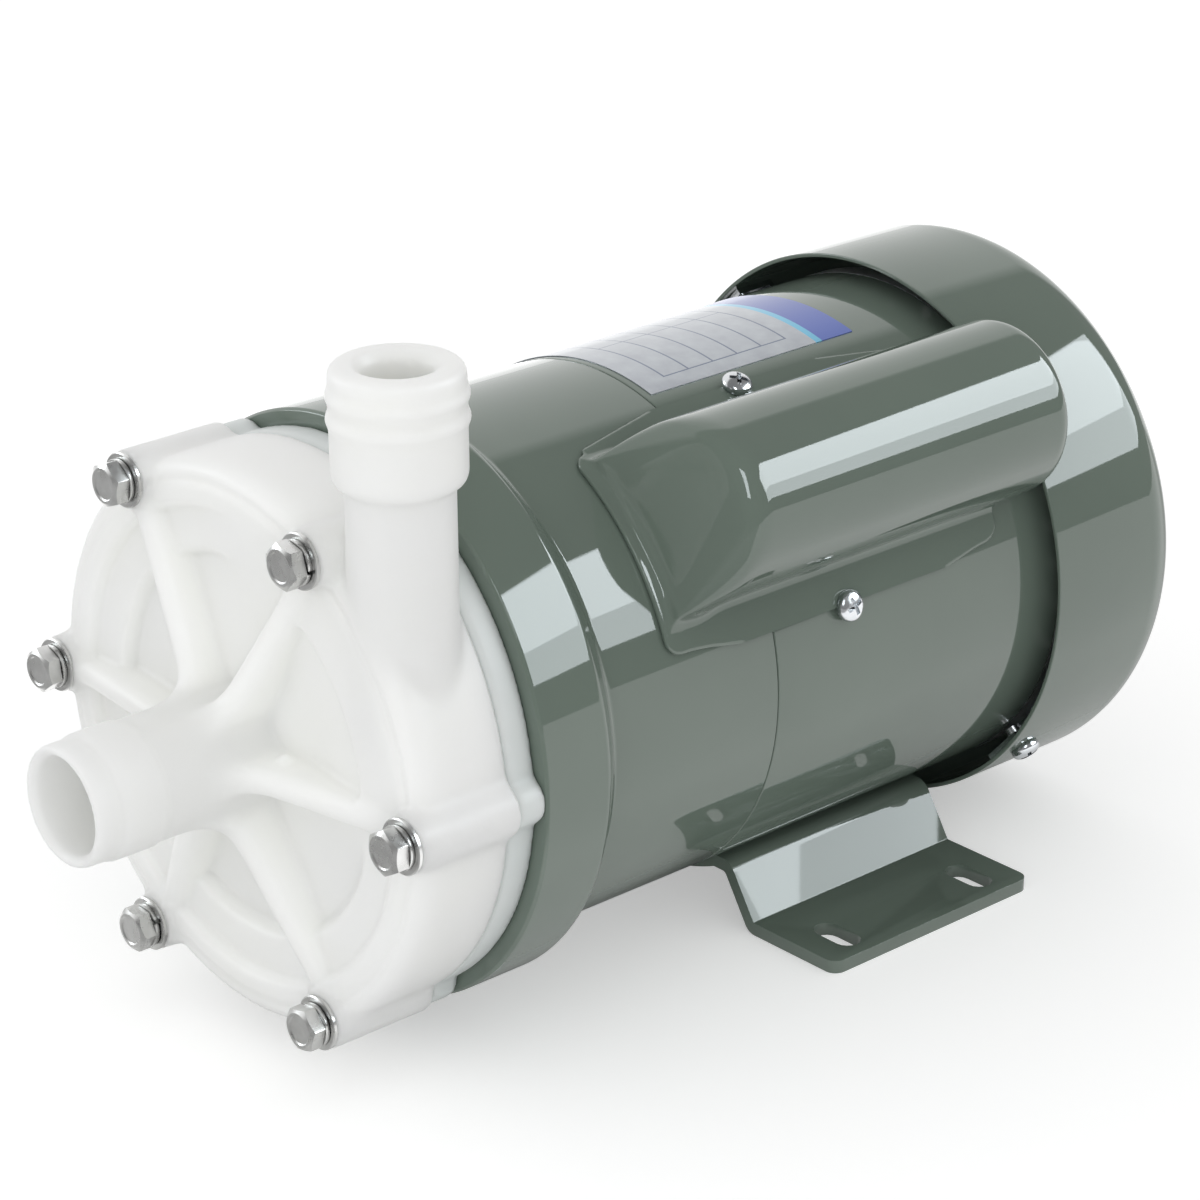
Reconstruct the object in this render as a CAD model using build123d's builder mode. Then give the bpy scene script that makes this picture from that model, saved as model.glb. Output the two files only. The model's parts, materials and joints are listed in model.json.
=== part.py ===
from build123d import *
from math import cos, radians, sin, sqrt, tan
import os

# Magnetic drive pump with a capacitor motor.
# X runs across the pump, Y along the shaft with the inlet at -Y, Z is up.
# The origin is the centre of the four foot slots, on the underside of the foot.
# Clock angles are read from the inlet end, from the top (0) towards +X (90).

# Shaft line and foot
shaft_height = 72.0
foot_length = 65.0
foot_width = 134.0
foot_sheet = 3.2
foot_shelf = 3.82
foot_web_lean = 32.0
saddle_half_angle = 24.0
slot_from_side = 10.0
slot_from_end = 10.5
slot_width = 6.5
slot_length = 13.0
foot_corner = 3.0
upper_bend_radius = 1.5
lower_bend_radius = 3.6
foot_centre_to_boss_face = 152.5

# Front casing, moulded in one piece with both nozzles
casing_radius = 64.0
casing_depth = 26.5
rim_setback = 2.5
rim_inset = 5.0
rim_width = 5.0
shoulder_radius = 4.0
recess_depth = 2.2
recess_width = 10.5
dish_depth = 3.3
front_wall = 4.5
impeller_clearance = 1.0
side_wall = 10.0
volute_growth = 5.0
bolt_inset = 2.0
bolt_count = 6
boss_radius = 6.4
rib_width = 6.5
rib_crest_radius = 2.4
rib_root_rise = 18.0
rib_hub_rise = 12.4
rib_hub_radius = 19.0
rib_mid_rise = 10.2
rib_mid_radius = 29.0
rib_end_proud = 0.4
rib_end_inset = 2.0
weld_depth = 1.0
rim_groove = 0.5
throat_pad_angles = (22.0, 97.0)

# Inlet nozzle
inlet_reach = 42.5
inlet_tip_radius = 13.6
inlet_band_radius = 14.1
inlet_neck_radius = 13.9
inlet_bore_radius = 11.0
inlet_tip_length = 7.5
inlet_band_length = 10.8
hub_flare = 9.0

# Outlet nozzle
outlet_offset = 45.8
outlet_top = 97.0
outlet_pipe_radius = 11.5
outlet_bore_radius = 7.5
collar_radius = 14.15
collar_length = 26.0
barb_radius = 14.85
barb_bulge = 1.9
collar_edge = 2.5
outlet_root = 28.0
volute_tongue_angle = 50.0
volute_span = 330.0
throat_start = 14.0
barb_pitch = 5.1
first_barb_drop = 6.4
mouth_chamfer = 1.2
moulded_edge = 1.5

# Rear casing and its containment can
flange_thickness = 7.5
lug_radius = 5.6
can_radius = 31.0
can_wall = 2.5
can_to_seam = 30.7
can_end_wall = 4.0
seal_inset = 8.0
seal_section = 1.5

# Casing bolts, M6
bolt_radius = 3.0
bolt_hole_radius = 3.25
bolt_head_height = 4.0
bolt_head_flats = 10.0
bolt_grip = 12.0
flat_washer_radius = 6.25
flat_washer_thickness = 1.2
spring_washer_radius = 5.2
spring_washer_thickness = 1.6
spring_washer_gap = 1.2

# Spindle, thrust rings and impeller
spindle_radius = 5.0
thrust_ring_radius = 8.5
thrust_ring_thickness = 2.0
spider_radius = 7.5
spider_vane = 3.0
spider_depth = 7.0
spindle_socket_depth = 5.0
running_gap = 0.3
bush_clearance = 0.05
bush_wall = 3.5
impeller_side_gap = 4.0
shroud_thickness = 2.0
vane_height = 5.0
vane_thickness = 2.0
vane_count = 6
back_plate_thickness = 3.0
eye_radius = 15.0
eye_wall = 2.0
eye_length = 4.0
mouth_ring_clearance = 0.3
mouth_ring_wall = 2.0
mouth_ring_length = 3.5
inlet_cone_length = 6.2
spider_hole_floor = 2.5
spider_vane_count = 3
impeller_hub_wall = 3.0
vane_inner_radius = 14.0
vane_sweep = 55.0
capsule_gap = 0.9
capsule_skin = 2.0
capsule_sleeve = 3.0
inner_yoke_wall = 5.0

# Magnets
magnet_count = 8
magnet_inset_in_can = 14.0
drive_magnet_inset = 1.0
drive_magnet_thickness = 5.6
drive_magnet_gap = 1.2
magnet_spacing_angle = 3.0
yoke_wall = 4.5
yoke_web = 5.5
yoke_hub_radius = 13.0
yoke_hub_length = 6.0
yoke_clearance = 1.5
set_screw_radius = 2.0

# Motor bracket
bracket_length = 72.7
ring_overhang = 3.5
ring_length = 17.7
ring_chamfer = 0.8
taper_length = 6.3
ring_bore_gap = 3.7
bracket_wall = 4.2
bracket_web = 6.0
bracket_web_setback = 2.7
spigot_length = 5.0
spigot_wall = 5.4

# Motor
shell_radius = 61.4
shell_sheet = 2.0
shell_length = 91.3
spigot_clearance = 0.1
stator_from_seam = 25.3
stator_from_shell_end = 16.0
air_gap = 0.4
stator_thickness = 24.4
stator_slot_count = 24
slot_opening = 3.0
slot_depth = 14.0
slot_land = 2.0
end_turn_length = 14.0
end_turn_clearance = 1.1
end_ring_length = 6.0
end_ring_bore_radius = 19.0
shaft_end_radius = 6.0
shaft_seat_radius = 7.5
shaft_body_radius = 10.0
tie_bolt_radius = 2.0
tie_bolt_inset = 2.8
tie_bolt_count = 4
tie_bolt_clearance = 0.5
tie_bolt_head_height = 3.5
tie_bolt_head_radius = 3.8

# Ball bearings, 15 x 35 x 11
bearing_radius = 17.5
bearing_width = 11.0
bearing_ring_wall = 3.4
ball_radius = 2.95
ball_count = 8
ball_clearance = 0.04
bearing_seat_wall = 4.5
preload_washer_thickness = 0.8

# Rear end bracket, fan and fan cover
end_bracket_thickness = 6.0
fan_tip_gap = 15.5
fan_hub_radius = 11.0
fan_plate = 2.0
fan_blade_height = 12.0
fan_blade_thickness = 1.8
fan_blade_count = 8
fan_from_end_bracket = 8.0
clip_thickness = 1.0
clip_radius = 9.5
clip_groove_depth = 1.0
fan_cover_gap = 6.1
fan_cover_sheet = 1.0
fan_cover_lap = 6.5
fan_cover_length = 44.5
fan_cover_corner = 12.0
grille_inner_count = 12
grille_outer_count = 24
grille_slot_width = 4.0
grille_inner_radii = (14.0, 28.0)
grille_outer_radii = (33.0, 50.0)
cover_screw_angle = 42.0
cover_screw_count = 4
cover_screw_setback = 8.5
tab_width = 12.0
tab_sheet = 1.5
tab_root_depth = 6.0

# Capacitor and its cover
hump_angle = 48.0
hump_height = 27.7
hump_half_width = 16.788
hump_to_fan_cover = 2.0
hump_from_seam = 18.3
hump_edge = 4.0
hump_crest_edge = 4.5
nose_length = 10.5
nose_rise = 1.0
cover_sheet = 1.2
cover_flange_from_shell_end = 20.0
cover_flange_from_seam = 31.2
cover_flange_angles = (27.0, 73.0)
cover_flange_corner = 4.0
cap_screw_angles = (22.6, 75.4)
cap_screw_from_seam = 21.8
screw_tab_radius = 6.1
screw_tab_half_base = 48.0
screw_tab_inset = 3.2
capacitor_side_gap = 1.288
capacitor_headroom = 7.7
capacitor_from_hump_end = 19.5
capacitor_edge = 8.0
capacitor_from_crest = 5.6
terminal_sheet = 0.8
terminal_width = 6.3
terminal_length = 8.0
terminal_spacing = 12.0
strap_width = 12.0
strap_sheet = 0.8
grommet_radius = 6.5
grommet_bore_radius = 3.5
grommet_groove_depth = 1.5
grommet_lip = 1.5
grommet_from_crest = 12.6

# Small screws, M4 pan head
pan_head_radius = 3.6
pan_head_height = 2.6
small_screw_radius = 2.0
small_screw_length = 5.5
recess_arm = 0.9
recess_span = 4.2

# Name plate
plate_thickness = 0.2
plate_length = 63.0
plate_from_seam = 2.0
plate_low_angle = 16.5
plate_high_angle = -58.0
plate_corner = 1.5

# General fit between parts that are fixed to each other along curved faces
seat_clearance = 0.05
press_clearance = 0.02
loose_clearance = 0.3

# Places along the shaft that follow from the sizes above
boss_face_y = -foot_centre_to_boss_face
rim_y = boss_face_y + rim_setback
recess_y = rim_y + recess_depth
dish_y = recess_y + dish_depth
chamber_y = dish_y + front_wall
split_y = boss_face_y + casing_depth
inlet_y = boss_face_y - inlet_reach
bracket_y = split_y + flange_thickness
seam_y = bracket_y + bracket_length
shell_end_y = seam_y + shell_length
can_end_y = seam_y - can_to_seam
can_floor_y = can_end_y - can_end_wall
socket_y = can_floor_y - spindle_socket_depth
shroud_y = chamber_y + impeller_clearance
vane_y = shroud_y + shroud_thickness
back_plate_y = vane_y + vane_height
capsule_y = back_plate_y + back_plate_thickness
capsule_end_y = socket_y - thrust_ring_thickness - running_gap
spider_y = shroud_y - eye_length - running_gap - spider_depth
spider_end_y = spider_y + spider_depth
driven_magnet_length = can_end_y - bracket_y - magnet_inset_in_can
drive_magnet_length = driven_magnet_length - 2 * drive_magnet_inset
magnet_centre_y = capsule_end_y - capsule_skin - driven_magnet_length / 2
yoke_web_y = can_end_y + yoke_clearance
bracket_web_y = seam_y - bracket_web_setback - bracket_web
stator_y = seam_y + stator_from_seam
stator_end_y = shell_end_y - stator_from_shell_end
stator_length = stator_end_y - stator_y
end_bracket_rear_y = shell_end_y + end_bracket_thickness
fan_y = end_bracket_rear_y + fan_from_end_bracket
fan_cover_y = shell_end_y - fan_cover_lap
fan_cover_end_y = fan_cover_y + fan_cover_length
cover_screw_y = fan_cover_y + cover_screw_setback
outlet_y = (rim_y + split_y) / 2

# Radii that follow from the sizes above
rim_outer_radius = casing_radius - rim_inset
rim_inner_radius = rim_outer_radius - rim_width
dish_radius = rim_inner_radius - recess_width
rib_end_radius = rim_outer_radius - rib_end_inset
bolt_circle_radius = casing_radius - bolt_inset
seal_radius = casing_radius - seal_inset
cavity_radius = casing_radius - side_wall - volute_growth
impeller_radius = cavity_radius - impeller_side_gap
can_bore_radius = can_radius - can_wall
capsule_radius = can_bore_radius - capsule_gap
bush_radius = spindle_radius + bush_clearance + bush_wall
drive_magnet_bore = can_radius + drive_magnet_gap
yoke_bore = drive_magnet_bore + drive_magnet_thickness
yoke_radius = yoke_bore + yoke_wall
ring_radius = casing_radius + ring_overhang
ring_bore_radius = yoke_radius + ring_bore_gap
shell_bore_radius = shell_radius - shell_sheet
rotor_radius = shell_bore_radius - stator_thickness - air_gap
tie_bolt_circle_radius = shell_bore_radius - tie_bolt_inset
end_turn_radius = tie_bolt_circle_radius - tie_bolt_radius - end_turn_clearance
fan_cover_radius = shell_radius + fan_cover_gap
fan_radius = fan_cover_radius - fan_tip_gap

shaft_axis = Axis((0, 0, shaft_height), (0, 1, 0))
shaft_section = Plane((0, 0, shaft_height), x_dir=(0, 1, 0), z_dir=(1, 0, 0))

os.makedirs("parts", exist_ok=True)


def facing_inlet(y):
    """Plane across the shaft at y, seen from the inlet; negative amounts run rearwards."""
    return Plane((0, y, shaft_height), x_dir=(1, 0, 0), z_dir=(0, -1, 0))


def profile(*corners):
    """Face in the shaft section from (y, radius) corners."""
    with BuildSketch(shaft_section) as face:
        with BuildLine():
            Polyline(*corners, close=True)
        make_face()
    return face.sketch


def band(y_start, y_end, inner_radius, outer_radius):
    """Rectangular section of a ring about the shaft."""
    return profile(
        (y_start, inner_radius),
        (y_end, inner_radius),
        (y_end, outer_radius),
        (y_start, outer_radius),
    )


def around(part, count, first_angle=0.0):
    """Copies of a part spaced evenly about the shaft."""
    return [part.rotate(shaft_axis, first_angle + 360 / count * index) for index in range(count)]


def clock_plane(clock, y=0.0):
    """Plane through the shaft at a clock angle: local x radial, local y along the shaft, z around it."""
    radial = (sin(radians(clock)), 0, cos(radians(clock)))
    return Plane((0, y, shaft_height), x_dir=radial, z_dir=(-cos(radians(clock)), 0, sin(radians(clock))))


def radial_plane(clock, radius, y):
    """Plane that faces outwards from the shaft: local x along the shaft, local y around it."""
    outward = (sin(radians(clock)), 0, cos(radians(clock)))
    origin = (radius * outward[0], y, shaft_height + radius * outward[2])
    return Plane(origin, x_dir=(0, 1, 0), z_dir=outward)


def save(part, name):
    part.label = name
    export_step(part, f"parts/{name}.step")


# Foot: one bent sheet, with a saddle that wraps the underside of the motor shell
saddle_outer = shell_radius + seat_clearance + foot_sheet
saddle_edge_x = saddle_outer * sin(radians(saddle_half_angle))
saddle_edge_z = shaft_height - saddle_outer * cos(radians(saddle_half_angle))
upper_bend_x = saddle_edge_x + foot_shelf
lower_bend_x = upper_bend_x + saddle_edge_z * tan(radians(foot_web_lean))
with BuildPart() as base_foot:
    with BuildSketch(Plane.XZ.offset(-foot_length / 2)):
        with BuildLine():
            ThreePointArc(
                (-saddle_edge_x, saddle_edge_z),
                (0, shaft_height - saddle_outer),
                (saddle_edge_x, saddle_edge_z),
            )
            right_leg = FilletPolyline(
                (saddle_edge_x, saddle_edge_z),
                (upper_bend_x, saddle_edge_z),
                (lower_bend_x, 0),
                (foot_width / 2, 0),
                radius=[upper_bend_radius, lower_bend_radius],
            )
            mirror(right_leg, about=Plane.YZ)
            offset(amount=foot_sheet, side=Side.LEFT)
        make_face()
    extrude(amount=foot_length)
    with BuildSketch(Plane.XY):
        with GridLocations(foot_width - 2 * slot_from_side, foot_length - 2 * slot_from_end, 2, 2):
            SlotOverall(slot_length, slot_width)
    extrude(amount=foot_sheet, mode=Mode.SUBTRACT)
    outer_corners = base_foot.edges().filter_by(Axis.Z).group_by(lambda edge: abs(edge.center().X))[-1]
    fillet(outer_corners, foot_corner)
save(base_foot.part, "base_foot")


# Front casing: dished front, rounded shoulder, six bosses and ribs, both nozzles
with BuildPart() as rib:
    with BuildSketch(clock_plane(90)):
        with BuildLine():
            crest = Spline(
                (inlet_neck_radius - weld_depth, dish_y - rib_root_rise),
                (rib_hub_radius, dish_y - rib_hub_rise),
                (rib_mid_radius, dish_y - rib_mid_rise),
                (rib_end_radius, rim_y - rib_end_proud),
            )
            Polyline(
                crest @ 1,
                (rib_end_radius, dish_y + weld_depth),
                (inlet_neck_radius - weld_depth, dish_y + weld_depth),
                crest @ 0,
            )
        make_face()
    extrude(amount=rib_width / 2, both=True)
    fillet(rib.edges().filter_by(GeomType.BSPLINE), rib_crest_radius)

with BuildPart() as throat_pad:
    revolve(
        band(rim_y, dish_y, dish_radius, rim_inner_radius),
        axis=shaft_axis,
        revolution_arc=throat_pad_angles[1] - throat_pad_angles[0],
    )

outlet_section = Plane((outlet_offset, outlet_y, shaft_height), x_dir=(1, 0, 0), z_dir=(0, -1, 0))
collar_bottom = outlet_top - collar_length
barb_tops = [outlet_top - first_barb_drop, outlet_top - first_barb_drop - barb_pitch]
with BuildPart() as outlet:
    with BuildSketch(outlet_section):
        with BuildLine():
            Polyline(
                (0, outlet_root),
                (outlet_pipe_radius, outlet_root),
                (outlet_pipe_radius, collar_bottom),
                (collar_radius - collar_edge, collar_bottom),
            )
            under = JernArc((collar_radius - collar_edge, collar_bottom), (1, 0), collar_edge, 90)
            line_end = under @ 1
            for barb_z in reversed(barb_tops):
                side = Line(line_end, (collar_radius, barb_z - barb_bulge))
                barb = ThreePointArc(side @ 1, (barb_radius, barb_z), (collar_radius, barb_z + barb_bulge))
                line_end = barb @ 1
            tip = Line(line_end, (collar_radius, outlet_top - moulded_edge))
            edge = JernArc(tip @ 1, (0, 1), moulded_edge, 90)
            Polyline(edge @ 1, (0, outlet_top), (0, outlet_root))
        make_face()
    revolve(axis=Axis((outlet_offset, outlet_y, 0), (0, 0, 1)))

with BuildPart() as inlet_spider:
    revolve(band(spider_y, spider_end_y, 0, spider_radius), axis=shaft_axis)
    with BuildSketch(clock_plane(0)):
        Polygon(
            (0, spider_y),
            (inlet_bore_radius + weld_depth / 2, spider_y),
            (eye_radius + weld_depth / 2, spider_end_y),
            (0, spider_end_y),
            align=None,
        )
    vane = extrude(amount=spider_vane / 2, both=True)
    add(around(vane, spider_vane_count))
    revolve(
        band(spider_y + spider_hole_floor, spider_end_y, 0, spindle_radius + press_clearance),
        axis=shaft_axis,
        mode=Mode.SUBTRACT,
    )

mouth_ring_bore = eye_radius + eye_wall + mouth_ring_clearance
mouth_ring_radius = mouth_ring_bore + mouth_ring_wall
mouth_ring_y = chamber_y - mouth_ring_length
inlet_cone_y = spider_end_y - inlet_cone_length
volute_steps = 6
with BuildPart() as front_casing:
    with BuildSketch(shaft_section):
        with BuildLine():
            nozzle = Polyline(
                (inlet_y, 0),
                (inlet_y, inlet_tip_radius - moulded_edge),
                (inlet_y + moulded_edge, inlet_tip_radius),
                (inlet_y + inlet_tip_length, inlet_tip_radius),
                (inlet_y + inlet_tip_length, inlet_band_radius),
                (inlet_y + inlet_tip_length + inlet_band_length, inlet_band_radius),
                (inlet_y + inlet_tip_length + inlet_band_length, inlet_neck_radius),
                (dish_y - hub_flare, inlet_neck_radius),
            )
            flare = JernArc(nozzle @ 1, (1, 0), hub_flare, 90)
            dish = Polyline(
                flare @ 1,
                (dish_y, dish_radius),
                (recess_y, dish_radius),
                (recess_y, rim_inner_radius),
                (rim_y, rim_inner_radius),
                (rim_y, rim_outer_radius),
                (rim_y + rim_groove, rim_outer_radius),
                (rim_y + rim_groove, casing_radius - shoulder_radius),
                (rim_y, casing_radius - shoulder_radius),
            )
            shoulder = JernArc(dish @ 1, (0, 1), shoulder_radius, -90)
            Polyline(shoulder @ 1, (split_y, casing_radius), (split_y, 0), (inlet_y, 0))
        make_face()
    revolve(axis=shaft_axis)
    with BuildSketch(facing_inlet(boss_face_y)):
        with PolarLocations(bolt_circle_radius, bolt_count):
            Circle(boss_radius)
    extrude(amount=-casing_depth)
    add(around(rib.part, bolt_count))
    add(throat_pad.part.rotate(shaft_axis, throat_pad_angles[0]))
    add(outlet.part)
    revolve(
        profile(
            (inlet_y, 0),
            (inlet_y, inlet_bore_radius + mouth_chamfer),
            (inlet_y + mouth_chamfer, inlet_bore_radius),
            (inlet_cone_y, inlet_bore_radius),
            (spider_end_y, eye_radius),
            (mouth_ring_y, eye_radius),
            (mouth_ring_y, mouth_ring_radius),
            (chamber_y, mouth_ring_radius),
            (chamber_y, 0),
        ),
        axis=shaft_axis,
        mode=Mode.SUBTRACT,
    )
    with BuildSketch(facing_inlet(chamber_y)):
        with BuildLine():
            volute = Spline(
                *[
                    (
                        (cavity_radius + volute_growth * step / volute_steps)
                        * cos(radians(volute_tongue_angle + volute_span * step / volute_steps)),
                        (cavity_radius + volute_growth * step / volute_steps)
                        * sin(radians(volute_tongue_angle + volute_span * step / volute_steps)),
                    )
                    for step in range(volute_steps + 1)
                ]
            )
            Line(volute @ 1, volute @ 0)
        make_face()
        Circle(cavity_radius)
    extrude(amount=chamber_y - split_y, mode=Mode.SUBTRACT)
    with BuildSketch(Plane.XY.offset(shaft_height + throat_start)):
        with Locations((outlet_offset, outlet_y)):
            Circle(outlet_bore_radius)
    extrude(amount=outlet_top - throat_start, mode=Mode.SUBTRACT)
    with BuildSketch(Plane.XY.offset(shaft_height + outlet_top)):
        with Locations((outlet_offset, outlet_y)):
            Circle(outlet_bore_radius + mouth_chamfer)
    extrude(amount=-mouth_chamfer, taper=45, mode=Mode.SUBTRACT)
    add(inlet_spider.part)
    with BuildSketch(facing_inlet(boss_face_y)):
        with PolarLocations(bolt_circle_radius, bolt_count):
            Circle(bolt_hole_radius)
    extrude(amount=-casing_depth, mode=Mode.SUBTRACT)
save(front_casing.part, "front_casing")

with BuildPart() as mouth_ring:
    revolve(
        band(mouth_ring_y, chamber_y, mouth_ring_bore, mouth_ring_radius - press_clearance),
        axis=shaft_axis,
    )
save(mouth_ring.part, "mouth_ring")


# Rear casing: flange with lugs, and the containment can that stands inside the drive magnets
socket_radius = thrust_ring_radius + weld_depth
with BuildPart() as rear_casing:
    revolve(
        profile(
            (split_y, can_bore_radius),
            (split_y, casing_radius),
            (bracket_y, casing_radius),
            (bracket_y, can_radius),
            (can_end_y, can_radius),
            (can_end_y, 0),
            (can_floor_y, 0),
            (can_floor_y, spindle_radius + press_clearance),
            (socket_y, spindle_radius + press_clearance),
            (socket_y, socket_radius),
            (can_floor_y, socket_radius),
            (can_floor_y, can_bore_radius),
        ),
        axis=shaft_axis,
    )
    with BuildSketch(facing_inlet(split_y)):
        with PolarLocations(bolt_circle_radius, bolt_count):
            Circle(lug_radius)
    extrude(amount=-flange_thickness)
    with BuildSketch(facing_inlet(split_y)):
        with PolarLocations(bolt_circle_radius, bolt_count):
            Circle(bolt_hole_radius)
    extrude(amount=-flange_thickness, mode=Mode.SUBTRACT)
    revolve(
        band(split_y, split_y + 2 * seal_section, seal_radius - seal_section, seal_radius + seal_section),
        axis=shaft_axis,
        mode=Mode.SUBTRACT,
    )
save(rear_casing.part, "rear_casing")

with BuildPart() as casing_seal:
    with BuildSketch(shaft_section):
        with Locations((split_y + seal_section, seal_radius)):
            Circle(seal_section - press_clearance)
    revolve(axis=shaft_axis)
save(casing_seal.part, "casing_seal")


# Casing bolts with flat and split washers
spring_washer_y = boss_face_y - flat_washer_thickness
bolt_head_y = spring_washer_y - spring_washer_thickness
with BuildPart() as flat_washers:
    with BuildSketch(facing_inlet(boss_face_y)):
        with PolarLocations(bolt_circle_radius, bolt_count):
            Circle(flat_washer_radius)
            Circle(bolt_hole_radius, mode=Mode.SUBTRACT)
    extrude(amount=flat_washer_thickness)
save(flat_washers.part, "flat_washers")

with BuildPart() as spring_washers:
    with BuildSketch(facing_inlet(spring_washer_y)):
        with PolarLocations(bolt_circle_radius, bolt_count):
            Circle(spring_washer_radius)
            Circle(bolt_hole_radius, mode=Mode.SUBTRACT)
        with PolarLocations(bolt_circle_radius + spring_washer_radius / 2, bolt_count):
            Rectangle(spring_washer_radius, spring_washer_gap, mode=Mode.SUBTRACT)
    extrude(amount=spring_washer_thickness)
save(spring_washers.part, "spring_washers")

with BuildPart() as casing_bolts:
    with BuildSketch(facing_inlet(bolt_head_y)):
        with PolarLocations(bolt_circle_radius, bolt_count):
            RegularPolygon(bolt_head_flats / 2, 6, major_radius=False)
    extrude(amount=bolt_head_height)
    with BuildSketch(facing_inlet(bolt_head_y)):
        with PolarLocations(bolt_circle_radius, bolt_count):
            Circle(bolt_radius)
    extrude(amount=bolt_head_y - bracket_y - bolt_grip)
save(casing_bolts.part, "casing_bolts")


# Spindle and its thrust rings
bush_y = spider_end_y + thrust_ring_thickness + running_gap
with BuildPart() as spindle:
    revolve(band(spider_y + spider_hole_floor, can_floor_y, 0, spindle_radius), axis=shaft_axis)
save(spindle.part, "spindle")

with BuildPart() as front_thrust_ring:
    revolve(
        band(
            spider_end_y,
            spider_end_y + thrust_ring_thickness,
            spindle_radius + press_clearance,
            thrust_ring_radius,
        ),
        axis=shaft_axis,
    )
save(front_thrust_ring.part, "front_thrust_ring")

with BuildPart() as rear_thrust_ring:
    revolve(
        band(
            socket_y - thrust_ring_thickness,
            socket_y,
            spindle_radius + press_clearance,
            thrust_ring_radius,
        ),
        axis=shaft_axis,
    )
save(rear_thrust_ring.part, "rear_thrust_ring")


# Impeller, its shroud and the driven magnet capsule turn on the spindle
with BuildPart() as impeller_bush:
    revolve(band(bush_y, capsule_end_y, spindle_radius + bush_clearance, bush_radius), axis=shaft_axis)
save(impeller_bush.part, "impeller_bush")

hub_bore_radius = bush_radius + press_clearance
vane_tip_radius = impeller_radius - vane_thickness
with BuildPart() as impeller:
    revolve(band(bush_y, capsule_y, hub_bore_radius, hub_bore_radius + impeller_hub_wall), axis=shaft_axis)
    revolve(band(back_plate_y, capsule_y, hub_bore_radius, impeller_radius), axis=shaft_axis)
    with BuildSketch(facing_inlet(back_plate_y)):
        with BuildLine():
            ThreePointArc(
                (vane_inner_radius, 0),
                (
                    (vane_inner_radius + vane_tip_radius) / 2 * cos(radians(vane_sweep / 3)),
                    (vane_inner_radius + vane_tip_radius) / 2 * -sin(radians(vane_sweep / 3)),
                ),
                (vane_tip_radius * cos(radians(vane_sweep)), vane_tip_radius * -sin(radians(vane_sweep))),
            )
        trace(line_width=vane_thickness)
    blade = extrude(amount=vane_height)
    add(around(blade, vane_count))
save(impeller.part, "impeller")

with BuildPart() as impeller_shroud:
    revolve(
        profile(
            (shroud_y - eye_length, eye_radius),
            (shroud_y - eye_length, eye_radius + eye_wall),
            (shroud_y, eye_radius + eye_wall),
            (shroud_y, impeller_radius),
            (vane_y, impeller_radius),
            (vane_y, eye_radius),
        ),
        axis=shaft_axis,
    )
save(impeller_shroud.part, "impeller_shroud")

pocket_inner = bush_radius + capsule_sleeve
pocket_outer = capsule_radius - capsule_skin
magnet_y = magnet_centre_y - driven_magnet_length / 2
cap_y = magnet_y + driven_magnet_length
with BuildPart() as magnet_capsule:
    revolve(band(capsule_y, capsule_end_y, bush_radius + press_clearance, capsule_radius), axis=shaft_axis)
    revolve(band(magnet_y, capsule_end_y, pocket_inner, pocket_outer), axis=shaft_axis, mode=Mode.SUBTRACT)
save(magnet_capsule.part, "magnet_capsule")

with BuildPart() as capsule_cap:
    revolve(
        band(cap_y, capsule_end_y, pocket_inner + press_clearance, pocket_outer - press_clearance),
        axis=shaft_axis,
    )
save(capsule_cap.part, "capsule_cap")

inner_yoke_radius = pocket_inner + inner_yoke_wall
with BuildPart() as inner_yoke:
    revolve(band(magnet_y, cap_y, pocket_inner + press_clearance, inner_yoke_radius), axis=shaft_axis)
save(inner_yoke.part, "inner_yoke")

magnet_arc = 360 / magnet_count - magnet_spacing_angle
with BuildPart() as driven_magnets:
    driven_magnet = revolve(
        band(magnet_y, cap_y, inner_yoke_radius + press_clearance, pocket_outer - press_clearance),
        axis=shaft_axis,
        revolution_arc=magnet_arc,
    )
    add(around(driven_magnet, magnet_count))
save(driven_magnets.part, "driven_magnets")


# Drive magnets in their yoke, on the front end of the motor shaft
drive_magnet_y = magnet_centre_y - drive_magnet_length / 2
with BuildPart() as drive_magnets:
    drive_magnet = revolve(
        band(
            drive_magnet_y,
            drive_magnet_y + drive_magnet_length,
            drive_magnet_bore,
            yoke_bore - press_clearance,
        ),
        axis=shaft_axis,
        revolution_arc=magnet_arc,
    )
    add(around(drive_magnet, magnet_count))
save(drive_magnets.part, "drive_magnets")

yoke_hub_end_y = yoke_web_y + yoke_web + yoke_hub_length
set_screw_y = yoke_hub_end_y - yoke_hub_length / 2
with BuildPart() as drive_yoke:
    revolve(
        profile(
            (drive_magnet_y, yoke_bore),
            (drive_magnet_y, yoke_radius),
            (yoke_web_y + yoke_web, yoke_radius),
            (yoke_web_y + yoke_web, yoke_hub_radius),
            (yoke_hub_end_y, yoke_hub_radius),
            (yoke_hub_end_y, shaft_end_radius + press_clearance),
            (yoke_web_y, shaft_end_radius + press_clearance),
            (yoke_web_y, yoke_bore),
        ),
        axis=shaft_axis,
    )
    with BuildSketch(radial_plane(0, 0, set_screw_y)):
        Circle(set_screw_radius + press_clearance)
    extrude(amount=yoke_hub_radius, mode=Mode.SUBTRACT)
save(drive_yoke.part, "drive_yoke")

with BuildPart() as yoke_set_screw:
    with BuildSketch(radial_plane(0, shaft_end_radius + press_clearance, set_screw_y)):
        Circle(set_screw_radius)
    extrude(amount=yoke_hub_radius - shaft_end_radius - press_clearance)
save(yoke_set_screw.part, "yoke_set_screw")


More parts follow.
